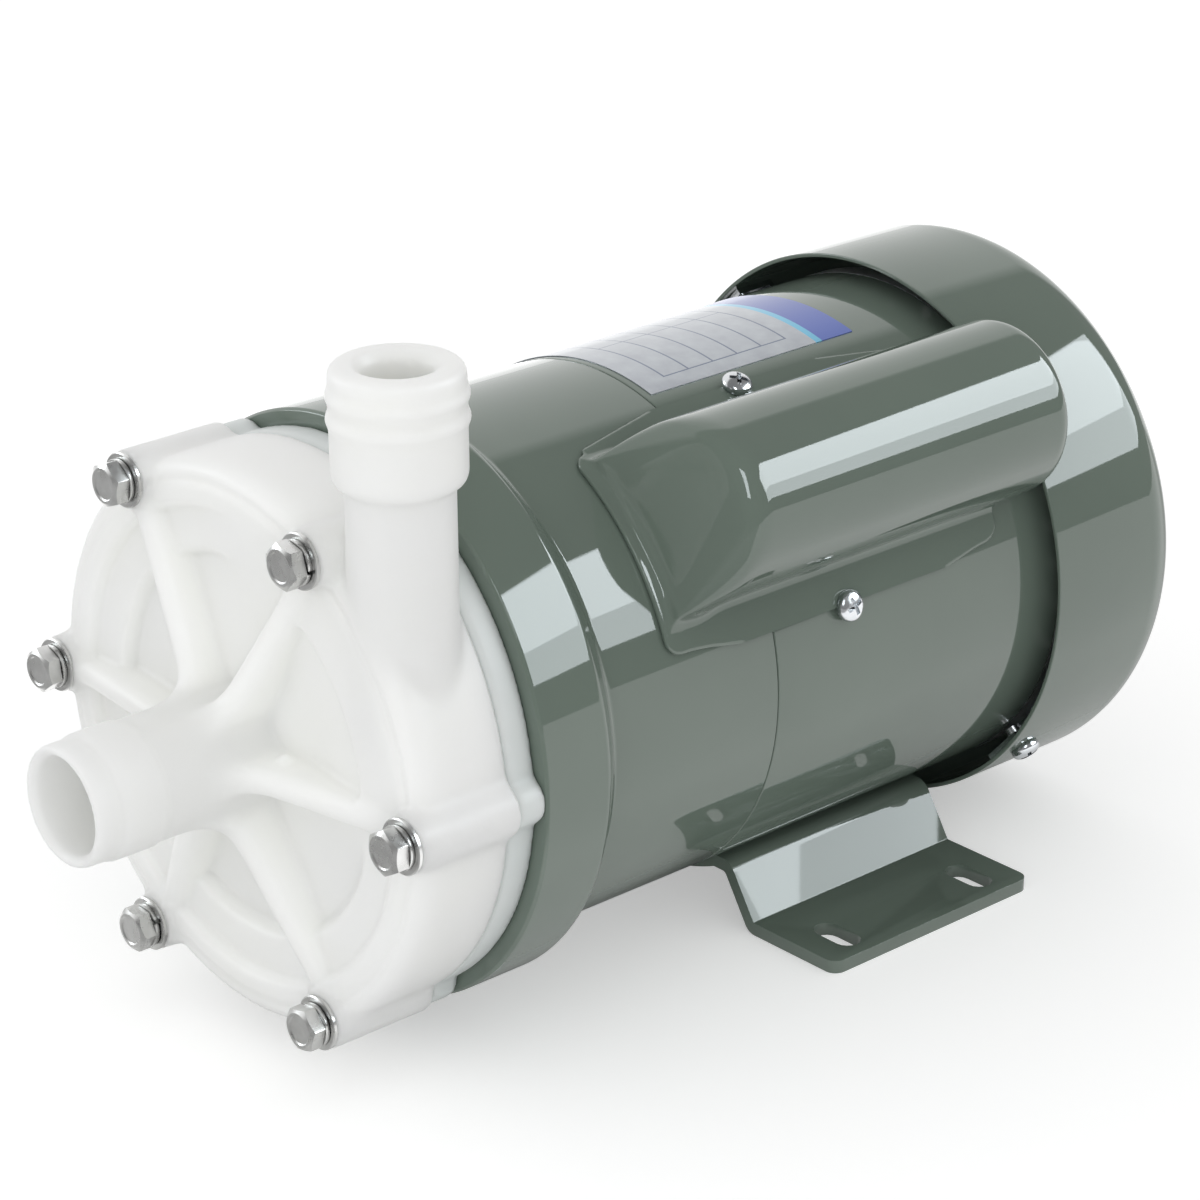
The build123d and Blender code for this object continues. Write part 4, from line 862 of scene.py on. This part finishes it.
def flange_outline(station, clock):
    """Rounded rectangle laid round the shell, with a wide V tab for each screw."""
    middle = (COVER_FLANGE_CLOCKS[0] + COVER_FLANGE_CLOCKS[1]) / 2
    half_arc = radians(COVER_FLANGE_CLOCKS[1] - middle) * SHELL_RADIUS
    half_length = (COVER_FLANGE[1] - COVER_FLANGE[0]) / 2
    arc = np.radians(clock - middle) * SHELL_RADIUS
    along = station - (COVER_FLANGE[0] + COVER_FLANGE[1]) / 2
    over_arc = np.abs(arc) - half_arc + COVER_CORNER
    over_length = np.abs(along) - half_length + COVER_CORNER
    beyond_corner = np.hypot(np.maximum(over_arc, 0), np.maximum(over_length, 0))
    outline = beyond_corner + np.minimum(np.maximum(over_arc, over_length), 0) - COVER_CORNER
    flank_length = hypot(SCREW_TAB_HALF_BASE, SCREW_TAB_INSET)
    slope = asin(SCREW_TAB_RADIUS / flank_length) + atan2(SCREW_TAB_INSET, SCREW_TAB_HALF_BASE)
    for screw_station, screw_clock in COVER_SCREWS:
        screw_arc = radians(screw_clock - middle) * SHELL_RADIUS
        side = 1 if screw_arc > 0 else -1
        beyond = side * (arc - screw_arc)
        aside = np.abs(station - screw_station)
        flank = aside * sin(slope) + beyond * cos(slope)
        tip = np.hypot(aside, beyond)
        tab = np.where(aside * cos(slope) < beyond * sin(slope), tip, flank) - SCREW_TAB_RADIUS
        tab = np.maximum(tab, np.maximum(over_length, -beyond - SCREW_TAB_DEPTH))
        outline = smooth_union(outline, tab, SCREW_TAB_BLEND)
    return outline


def cover_field(x, y, z):
    """Pressed sheet of the hump and flange, open below, with the hole for the grommet."""
    station, radius, clock = shaft_polar(x, y, z)
    height = z - SHAFT_HEIGHT
    turn = radians(HUMP_CLOCK)
    around = x * cos(turn) - height * sin(turn)
    out = x * sin(turn) + height * cos(turn)
    flange = np.maximum(flange_outline(station, clock), radius - SHELL_SEAT - COVER_SHEET)
    solid = smooth_union(flange, hump_field(station, around, out), HUMP_BLEND)
    sheet = np.maximum(solid, -solid - COVER_SHEET)
    sheet = np.maximum(sheet, SHELL_SEAT - radius)
    grommet = np.hypot(around, out - GROMMET_AXIS_RADIUS) - GROMMET_HOLE
    return np.maximum(sheet, -np.maximum(grommet, HUMP_REAR - 6 - station))


cover = surface_net("capacitor_cover_pressed", cover_field, COVER_BOX, COVER_STEP)


def pan_screw(clock, radius, station, turn):
    """Shank and domed pan head with a cross recess."""
    place = radial_placement(clock, radius, station) @ Matrix.Rotation(radians(turn), 4, "Z")
    profile = [(-PAN_SHANK_LENGTH, 0.0), (-PAN_SHANK_LENGTH, PAN_SHANK), (0.0, PAN_SHANK)]
    profile += [(0.0, PAN_RADIUS - 0.15), (0.25, PAN_RADIUS), (PAN_SIDE, PAN_RADIUS)]
    steps = 8
    for step in range(1, steps):
        angle = pi / 2 * step / steps
        profile.append((PAN_SIDE + PAN_CROWN * sin(angle), PAN_RADIUS * cos(angle) ** 0.8))
    profile.append((PAN_SIDE + PAN_CROWN, 0.0))
    head = revolved("head", profile, place)
    floor = place @ Matrix.Translation((0, 0, RECESS_FLOOR))
    for angle in (0, pi / 2):
        arm = rectangle(RECESS_HALF_LENGTH, RECESS_HALF_WIDTH)
        cut(head, prism("arm", arm, 3.0, floor @ Matrix.Rotation(angle, 4, "Z")))
    return shade(head, 35)


cover_heads = [
    pan_screw(clock, SHELL_SEAT + COVER_SHEET, station, turn=20 + 31 * i)
    for i, (station, clock) in enumerate(COVER_SCREWS)
]
fan_heads = [
    pan_screw(clock, RING_RADIUS, COVER_SCREW_STATION, turn=12 + 23 * i)
    for i, clock in enumerate(COVER_SCREW_CLOCKS)
]
cover_screws = joined("capacitor_cover_screws_pan", cover_heads)
fan_screws = joined("fan_cover_screws_pan", fan_heads)


def make_name_plate():
    """Thin film on the shell, with its own flat coordinates for the pattern."""
    low, high = PLATE_CLOCKS
    rows, columns = 48, 96
    vertices = []
    for radius in (SHELL_SEAT, SHELL_SEAT + PLATE_THICKNESS):
        for row in range(rows + 1):
            y = station_y(SEAM + PLATE_FROM_SEAM + PLATE_LENGTH * row / rows)
            for column in range(columns + 1):
                clock = radians(low + (high - low) * column / columns)
                vertices.append((radius * sin(clock), y, radius * cos(clock) + SHAFT_HEIGHT))
    width = columns + 1
    layer_size = width * (rows + 1)
    faces = []
    for row in range(rows):
        for column in range(columns):
            corner = row * width + column
            quad = (corner, corner + 1, corner + width + 1, corner + width)
            faces.append(quad)
            faces.append(tuple(layer_size + i for i in reversed(quad)))
    last = rows * width
    border = [*range(columns), *range(columns, last + columns, width)]
    border += [*range(last + columns, last, -1), *range(last, 0, -width)]
    for a, b in zip(border, border[1:] + border[:1]):
        faces.append((a, b, layer_size + b, layer_size + a))
    plate = outward(new_object("name_plate_film", vertices, faces))
    layer = plate.data.uv_layers.new(name="plate")
    for loop in plate.data.loops:
        index = loop.vertex_index % layer_size
        layer.data[loop.index].uv = (index % width / columns, index // width / rows)
    return shade(plate, 30)


plate = make_name_plate()


# Materials
class ShaderTree:
    """Adds nodes and gives their outputs. Values are numbers, colours or other outputs."""

    def __init__(self, owner):
        owner.use_nodes = True
        self.owner = owner
        self.nodes = owner.node_tree.nodes
        self.links = owner.node_tree.links

    def put(self, socket, value):
        if isinstance(value, bpy.types.NodeSocket):
            self.links.new(value, socket)
        elif socket.type == "RGBA":
            socket.default_value = (*value, 1.0)
        else:
            socket.default_value = value

    def feed(self, inputs, values):
        for name, value in values.items():
            self.put(inputs[name], value)

    def add(self, kind, values):
        node = self.nodes.new(kind)
        self.feed(node.inputs, values)
        return node

    def place(self):
        return self.nodes.new("ShaderNodeTexCoord").outputs["Object"]

    def noise(self, scale, detail, roughness=0.5, place=None):
        place = place or self.place()
        values = {"Scale": scale, "Detail": detail, "Roughness": roughness, "Vector": place}
        return self.add("ShaderNodeTexNoise", values).outputs["Fac"]

    def ramp(self, factor, *stops):
        node = self.add("ShaderNodeValToRGB", {"Fac": factor})
        for element, (position, colour) in zip(node.color_ramp.elements, stops):
            element.position = position
            element.color = (*colour, 1.0)
        return node.outputs["Color"]

    def span(self, value, low, high, to_low=0.0, to_high=1.0):
        """Value between low and high brought to between to_low and to_high."""
        values = {"From Min": low, "From Max": high, "To Min": to_low, "To Max": to_high}
        return self.add("ShaderNodeMapRange", {"Value": value, **values}).outputs["Result"]

    def mottle(self, cloud, light, dark, smooth, rough, spread=0.2):
        """Colour and roughness that follow a noise."""
        colour = self.ramp(cloud, (0.5 - spread, dark), (0.5 + spread, light))
        return {"Base Color": colour, "Roughness": self.span(cloud, 0.3, 0.7, smooth, rough)}

    def bump(self, height, distance, strength):
        values = {"Height": height, "Distance": distance, "Strength": strength}
        return self.add("ShaderNodeBump", values).outputs["Normal"]

    def calculate(self, operation, *values):
        node = self.nodes.new("ShaderNodeMath")
        node.operation = operation
        for socket, value in zip(node.inputs, values):
            self.put(socket, value)
        return node.outputs["Value"]

    def times(self, product, *others):
        for other in others:
            product = self.calculate("MULTIPLY", product, other)
        return product

    def within(self, value, low, high):
        above = self.calculate("GREATER_THAN", value, low)
        return self.times(above, self.calculate("LESS_THAN", value, high))

    def blend(self, factor, under, over):
        node = self.nodes.new("ShaderNodeMix")
        node.data_type = "RGBA"
        self.feed(node.inputs, {"Factor": factor, "A": under, "B": over})
        return node.outputs["Result"]

    def principled(self, values):
        """Material whose principled shader has the values."""
        self.feed(self.nodes["Principled BSDF"].inputs, values)
        return self.owner


def new_tree(name):
    return ShaderTree(bpy.data.materials.new(name))


def polypropylene(name, light, dark, scatter, roughness):
    """Moulded plastic that light enters."""
    tree = new_tree(name)
    cloud = tree.noise(38.0, 3.0)
    values = {
        **tree.mottle(cloud, light, dark, roughness - 0.05, roughness + 0.07),
        "Normal": tree.bump(tree.noise(900.0, 2.0), distance=0.00004, strength=0.5),
        "Subsurface Weight": scatter,
        "Subsurface Radius": (1.0, 1.0, 1.0),
        "Subsurface Scale": 0.007,
        "IOR": 1.49,
        "Specular IOR Level": 0.3,
    }
    return tree.principled(values)


def enamel(name, light, dark):
    """Glossy paint with a faint orange peel."""
    tree = new_tree(name)
    cloud = tree.noise(14.0, 4.0)
    values = {
        **tree.mottle(cloud, light, dark, 0.26, 0.36, spread=0.15),
        "Normal": tree.bump(tree.noise(260.0, 2.0), distance=0.00006, strength=0.25),
        "Specular IOR Level": 0.0,
        "Coat Weight": 1.0,
        "Coat Roughness": 0.035,
        "Coat IOR": 1.5,
    }
    return tree.principled(values)


def metal(name, light, dark, roughness, scale, brushed=None):
    """Bare metal; brushed holds the stretch of its grain along each axis."""
    tree = new_tree(name)
    place = tree.place()
    if brushed is not None:
        place = tree.add("ShaderNodeMapping", {"Scale": brushed, "Vector": place}).outputs["Vector"]
    cloud = tree.noise(scale, 4.0, 0.6, place)
    values = {
        **tree.mottle(cloud, light, dark, roughness - 0.06, roughness + 0.08),
        "Metallic": 1.0,
        "Normal": tree.bump(cloud, distance=0.00003, strength=0.4),
    }
    return tree.principled(values)


def plain_body(name, light, dark, roughness, scale=60.0, depth=0.00005, coat=0.0):
    """Rubber, plastic, ceramic and other bodies with a slight mottle."""
    tree = new_tree(name)
    cloud = tree.noise(scale, 4.0, 0.6)
    values = {
        **tree.mottle(cloud, light, dark, roughness - 0.05, roughness + 0.07),
        "Normal": tree.bump(cloud, distance=depth, strength=0.5),
        "Coat Weight": coat,
    }
    return tree.principled(values)


def laminations(name, light, dark):
    """Thin steel sheets stacked along the shaft."""
    tree = new_tree(name)
    place = tree.place()
    wave = tree.add("ShaderNodeTexWave", {"Scale": 300.0, "Distortion": 0.3, "Vector": place})
    wave.bands_direction = "Y"
    sheets = wave.outputs["Fac"]
    values = {
        "Base Color": tree.ramp(sheets, (0.2, dark), (0.6, light)),
        "Normal": tree.bump(sheets, distance=0.0001, strength=0.6),
        "Metallic": 0.8,
        "Roughness": 0.45,
    }
    return tree.principled(values)


def label_film(name):
    """Silver film with a colour band, a thin stripe and plain ruled boxes."""
    tree = new_tree(name)
    flat = tree.nodes.new("ShaderNodeUVMap").outputs["UV"]
    plane = tree.add("ShaderNodeSeparateXYZ", {"Vector": flat}).outputs
    across, along = plane["X"], plane["Y"]
    film = tree.ramp(tree.noise(240.0, 3.0), (0.3, (0.34, 0.36, 0.40)), (0.7, (0.42, 0.45, 0.48)))
    band = tree.ramp(across, (0.0, (0.02, 0.04, 0.22)), (1.0, (0.04, 0.09, 0.40)))
    colour = tree.blend(tree.within(along, *LABEL_STRIPE), film, (0.10, 0.42, 0.62))
    colour = tree.blend(tree.within(along, *LABEL_BAND), colour, band)
    rules = [tree.within(along, place, place + LABEL_ROW_RULE) for place in LABEL_ROWS]
    rules += [tree.within(across, place, place + LABEL_COLUMN_RULE) for place in LABEL_COLUMNS]
    boxes = rules[0]
    for rule in rules[1:]:
        boxes = tree.calculate("MAXIMUM", boxes, rule)
    ruled_rows = tree.within(along, LABEL_ROWS[0], LABEL_ROWS[-1] + LABEL_ROW_RULE)
    ruled_columns = tree.within(across, LABEL_COLUMNS[0], LABEL_COLUMNS[-1] + LABEL_COLUMN_RULE)
    boxes = tree.times(boxes, ruled_rows, ruled_columns)
    values = {
        "Base Color": tree.blend(boxes, colour, (0.10, 0.13, 0.20)),
        "Metallic": 0.35,
        "Roughness": 0.32,
        "Coat Weight": 0.5,
        "Coat Roughness": 0.08,
    }
    return tree.principled(values)


MATERIALS = {
    "translucent_polypropylene": polypropylene(
        "natural_polypropylene", (0.94, 0.945, 0.91), (0.92, 0.925, 0.89), scatter=0.95, roughness=0.46
    ),
    "white_polypropylene": polypropylene(
        "rear_polypropylene", (0.74, 0.77, 0.76), (0.68, 0.72, 0.71), scatter=0.7, roughness=0.42
    ),
    "wear_polymer": plain_body("cream_wear_polymer", (0.72, 0.66, 0.52), (0.64, 0.58, 0.45), 0.4),
    "ceramic_white": plain_body(
        "ground_ceramic", (0.85, 0.84, 0.80), (0.78, 0.77, 0.74), 0.2, 200.0, depth=0.00001, coat=0.4
    ),
    "seal_rubber": plain_body("black_rubber", (0.03, 0.03, 0.03), (0.015, 0.015, 0.016), 0.6, 300.0),
    "stainless_steel": metal("stainless", (0.66, 0.66, 0.65), (0.50, 0.50, 0.49), 0.28, 160.0),
    "zinc_steel": metal("bright_zinc", (0.64, 0.65, 0.66), (0.50, 0.52, 0.54), 0.18, 200.0),
    "bearing_steel": metal(
        "ground_steel", (0.62, 0.62, 0.63), (0.50, 0.50, 0.52), 0.18, 60.0, brushed=(1.0, 12.0, 1.0)
    ),
    "lamination_steel": laminations("core_laminations", (0.40, 0.40, 0.42), (0.12, 0.12, 0.13)),
    "yoke_iron": metal(
        "turned_iron", (0.42, 0.42, 0.43), (0.30, 0.30, 0.31), 0.35, 40.0, brushed=(1.0, 20.0, 1.0)
    ),
    "cast_aluminium": metal("cast_alloy", (0.62, 0.63, 0.64), (0.48, 0.49, 0.50), 0.42, 300.0),
    "magnet_dark": plain_body(
        "sintered_magnet", (0.09, 0.09, 0.095), (0.05, 0.05, 0.055), 0.5, 400.0
    ),
    "copper_winding": plain_body(
        "varnished_winding", (0.50, 0.22, 0.08), (0.30, 0.11, 0.04), 0.3, 500.0, depth=0.0003, coat=0.4
    ),
    "green_enamel": enamel("grey_green_enamel", (0.150, 0.190, 0.158), (0.134, 0.170, 0.142)),
    "fan_plastic": plain_body(
        "black_moulding", (0.035, 0.036, 0.038), (0.022, 0.022, 0.024), 0.45, 200.0
    ),
    "capacitor_case": plain_body("capacitor_moulding", (0.70, 0.70, 0.67), (0.62, 0.62, 0.59), 0.35),
    "label_film": label_film("silver_label"),
}


def dress(obj, slot):
    obj.data.materials.clear()
    obj.data.materials.append(MATERIALS[slot])


PIECES = [
    (casing, "pump_body", "translucent_polypropylene", ("front_casing",)),
    (rear_casing, "pump_body", "white_polypropylene", ("rear_casing",)),
    (bolts, "pump_body", "stainless_steel", ("casing_bolts",)),
    (washers, "pump_body", "stainless_steel", ("flat_washers",)),
    (rings, "pump_body", "stainless_steel", ("spring_washers",)),
    (bracket, "pump_body", "green_enamel", ("motor_bracket",)),
    (shell, "pump_body", "green_enamel", ("motor_shell",)),
    (fan_cover, "pump_body", "green_enamel", ("fan_cover",)),
    (foot, "pump_body", "green_enamel", ("base_foot",)),
    (cover, "pump_body", "green_enamel", ("capacitor_cover",)),
    (cover_screws, "pump_body", "zinc_steel", ("capacitor_cover_screws",)),
    (fan_screws, "pump_body", "zinc_steel", ("fan_cover_screws",)),
    (plate, "pump_body", "label_film", ("name_plate",)),
]
for obj, body, slot, nodes in PIECES:
    dress(obj, slot)
    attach(obj, body)
    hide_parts(*nodes)

node_slots = {part["node"]: part["material_slot"] for part in frame["record"]["subparts"]}
for node, obj in frame["nodes"].items():
    if not obj.hide_render:
        dress(obj, node_slots[node])


# Studio. Places are in metres; EDGE pairs are where a brightness starts and ends its change.
WORLD_FILL = 0.80
PANEL_REFLECTED = 1.25
DARK_REFLECTED = 0.30
PANEL_EDGE = (-0.36, -0.28)
FLOOR_COLOUR = (0.80, 0.80, 0.80)
FLOOR_REFLECTED = 0.95
FLOOR_SEEN = 0.40
FLOOR_HALF_SIZE = 4000.0
FLOOR_DROP = 0.02
# Painted dark reflection: the floor in front of the pump is darker, in reflections only.
PAINTED_DARK_REFLECTION_EDGE = (-0.185, -0.165)
PAINTED_DARK_REFLECTION_COLOUR = (0.60, 0.60, 0.60)
# Painted shadow under the pump, in the floor's glow seen in reflections.
PAINTED_PUMP_SHADOW_EDGE = (0.02, 0.10)
FILL_COLOUR = (0.96, 0.985, 1.0)
BOX_COLOUR = (0.89, 0.96, 1.0)

# Camera, fitted to the photograph
CAMERA_YAW = 48.709
CAMERA_PITCH = 23.09
CAMERA_ROLL = -0.508
CAMERA_PLACE = (0.640801, -0.606956, 0.439506)
CAMERA_LENS = 120.292
CAMERA_SENSOR = 36.0


def studio_floor_material():
    """Diffuse white that glows to the camera and in reflections, with painted shade in the glow seen in
    reflections: a painted dark reflection in front and a painted shadow under the pump.
    """
    tree = new_tree("studio_white")
    tree.nodes.clear()
    path = tree.nodes.new("ShaderNodeLightPath").outputs
    position = tree.nodes.new("ShaderNodeNewGeometry").outputs["Position"]
    place = tree.add("ShaderNodeSeparateXYZ", {"Vector": position}).outputs
    # Painted dark reflection of the floor in front of the pump, for reflections only.
    painted_dark_reflection = tree.times(tree.span(place["Y"], *PAINTED_DARK_REFLECTION_EDGE, 1.0, 0.0), path["Is Glossy Ray"])
    # Painted shadow: the glow seen in reflections fades out under the pump.
    outside_painted_shadow = tree.span(tree.calculate("ABSOLUTE", place["X"]), *PAINTED_PUMP_SHADOW_EDGE)
    outside_painted_dark = tree.calculate("SUBTRACT", 1.0, painted_dark_reflection)
    in_gloss = tree.times(path["Is Glossy Ray"], FLOOR_REFLECTED, outside_painted_dark, outside_painted_shadow)
    to_camera = tree.times(path["Is Camera Ray"], FLOOR_SEEN)
    strength = tree.calculate("ADD", to_camera, in_gloss)
    # Painted dark reflection: a darker floor colour where the floor in front of the pump is seen in
    # reflections.
    colour = tree.blend(painted_dark_reflection, FLOOR_COLOUR, PAINTED_DARK_REFLECTION_COLOUR)
    diffuse = tree.add("ShaderNodeBsdfDiffuse", {"Color": colour}).outputs["BSDF"]
    glow = tree.add("ShaderNodeEmission", {"Strength": strength}).outputs["Emission"]
    both = tree.nodes.new("ShaderNodeAddShader")
    tree.put(both.inputs[0], diffuse)
    tree.put(both.inputs[1], glow)
    tree.add("ShaderNodeOutputMaterial", {"Surface": both.outputs["Shader"]})
    return tree.owner


def make_floor():
    corners = [(x, y, -FLOOR_DROP) for x, y in rectangle(FLOOR_HALF_SIZE, FLOOR_HALF_SIZE)]
    floor = new_object("studio_floor", corners, [(0, 1, 2, 3)])
    floor.data.materials.append(studio_floor_material())


def make_world():
    """White to the camera, even light for shading, and a white wall on the left in reflections."""
    world = bpy.data.worlds.new("studio_world")
    bpy.context.scene.world = world
    tree = ShaderTree(world)
    path = tree.nodes.new("ShaderNodeLightPath").outputs
    generated = tree.nodes.new("ShaderNodeTexCoord").outputs["Generated"]
    direction = tree.add("ShaderNodeSeparateXYZ", {"Vector": generated}).outputs
    wall = tree.span(direction["X"], *PANEL_EDGE, PANEL_REFLECTED, DARK_REFLECTED)
    off_camera = tree.span(path["Is Glossy Ray"], 0.0, 1.0, WORLD_FILL, wall)
    strength = tree.span(path["Is Camera Ray"], 0.0, 1.0, off_camera, 1.0)
    background = tree.nodes["Background"].inputs
    tree.feed(background, {"Color": (1.0, 1.0, 1.0), "Strength": strength})


def softbox(name, location, target, size, power, diffuse=True, glossy=True):
    """Rectangular area lamp aimed at a point, for shading, for reflections or for both."""
    lamp = bpy.data.lights.new(name, "AREA")
    lamp.shape = "RECTANGLE"
    lamp.size, lamp.size_y = size
    lamp.energy = power
    lamp.color = FILL_COLOUR if diffuse else BOX_COLOUR
    obj = bpy.data.objects.new(name, lamp)
    bpy.context.scene.collection.objects.link(obj)
    obj.location = location
    obj.rotation_euler = (Vector(location) - Vector(target)).to_track_quat("Z", "Y").to_euler()
    obj.visible_diffuse = diffuse
    obj.visible_glossy = glossy


def make_camera():
    """Camera at the photograph's viewing angle."""
    yaw, pitch, roll = radians(CAMERA_YAW), radians(CAMERA_PITCH), radians(CAMERA_ROLL)
    back = Vector((sin(yaw) * cos(pitch), -cos(yaw) * cos(pitch), sin(pitch)))
    right = Vector((cos(yaw), sin(yaw), 0))
    up = back.cross(right)
    level, tilt = cos(roll), sin(roll)
    lens = bpy.data.cameras.new("photo_camera")
    lens.sensor_width = CAMERA_SENSOR
    lens.lens = CAMERA_LENS
    camera = bpy.data.objects.new("photo_camera", lens)
    turned_right = level * right + tilt * up
    turned_up = level * up - tilt * right
    camera.matrix_world = placed(turned_right, turned_up, back, Vector(CAMERA_PLACE))
    bpy.context.scene.collection.objects.link(camera)
    bpy.context.scene.camera = camera


make_floor()
make_world()
make_camera()
middle = (0.0, -0.05, 0.07)
hump = (0.05, -0.07, 0.10)
softbox("right_box", (0.70, 0.75, 0.62), hump, (0.95, 0.60), 12.5, diffuse=False)
softbox("right_core", (0.665, 0.705, 0.71), hump, (0.85, 0.36), 4.2, diffuse=False)
softbox("left_box", (-1.00, -0.72, 0.50), middle, (0.4, 0.4), 3.5, diffuse=False)
softbox("camera_box", (0.82, -0.69, 0.85), middle, (0.22, 0.50), 3.2, diffuse=False)
softbox("front_fill", (-0.10, -1.30, 0.20), middle, (1.2, 1.2), 2.1, glossy=False)
softbox("side_fill", (0.88, -0.88, 0.18), middle, (0.8, 0.8), 2.5, glossy=False)

bpy.context.scene.view_settings.view_transform = "Standard"
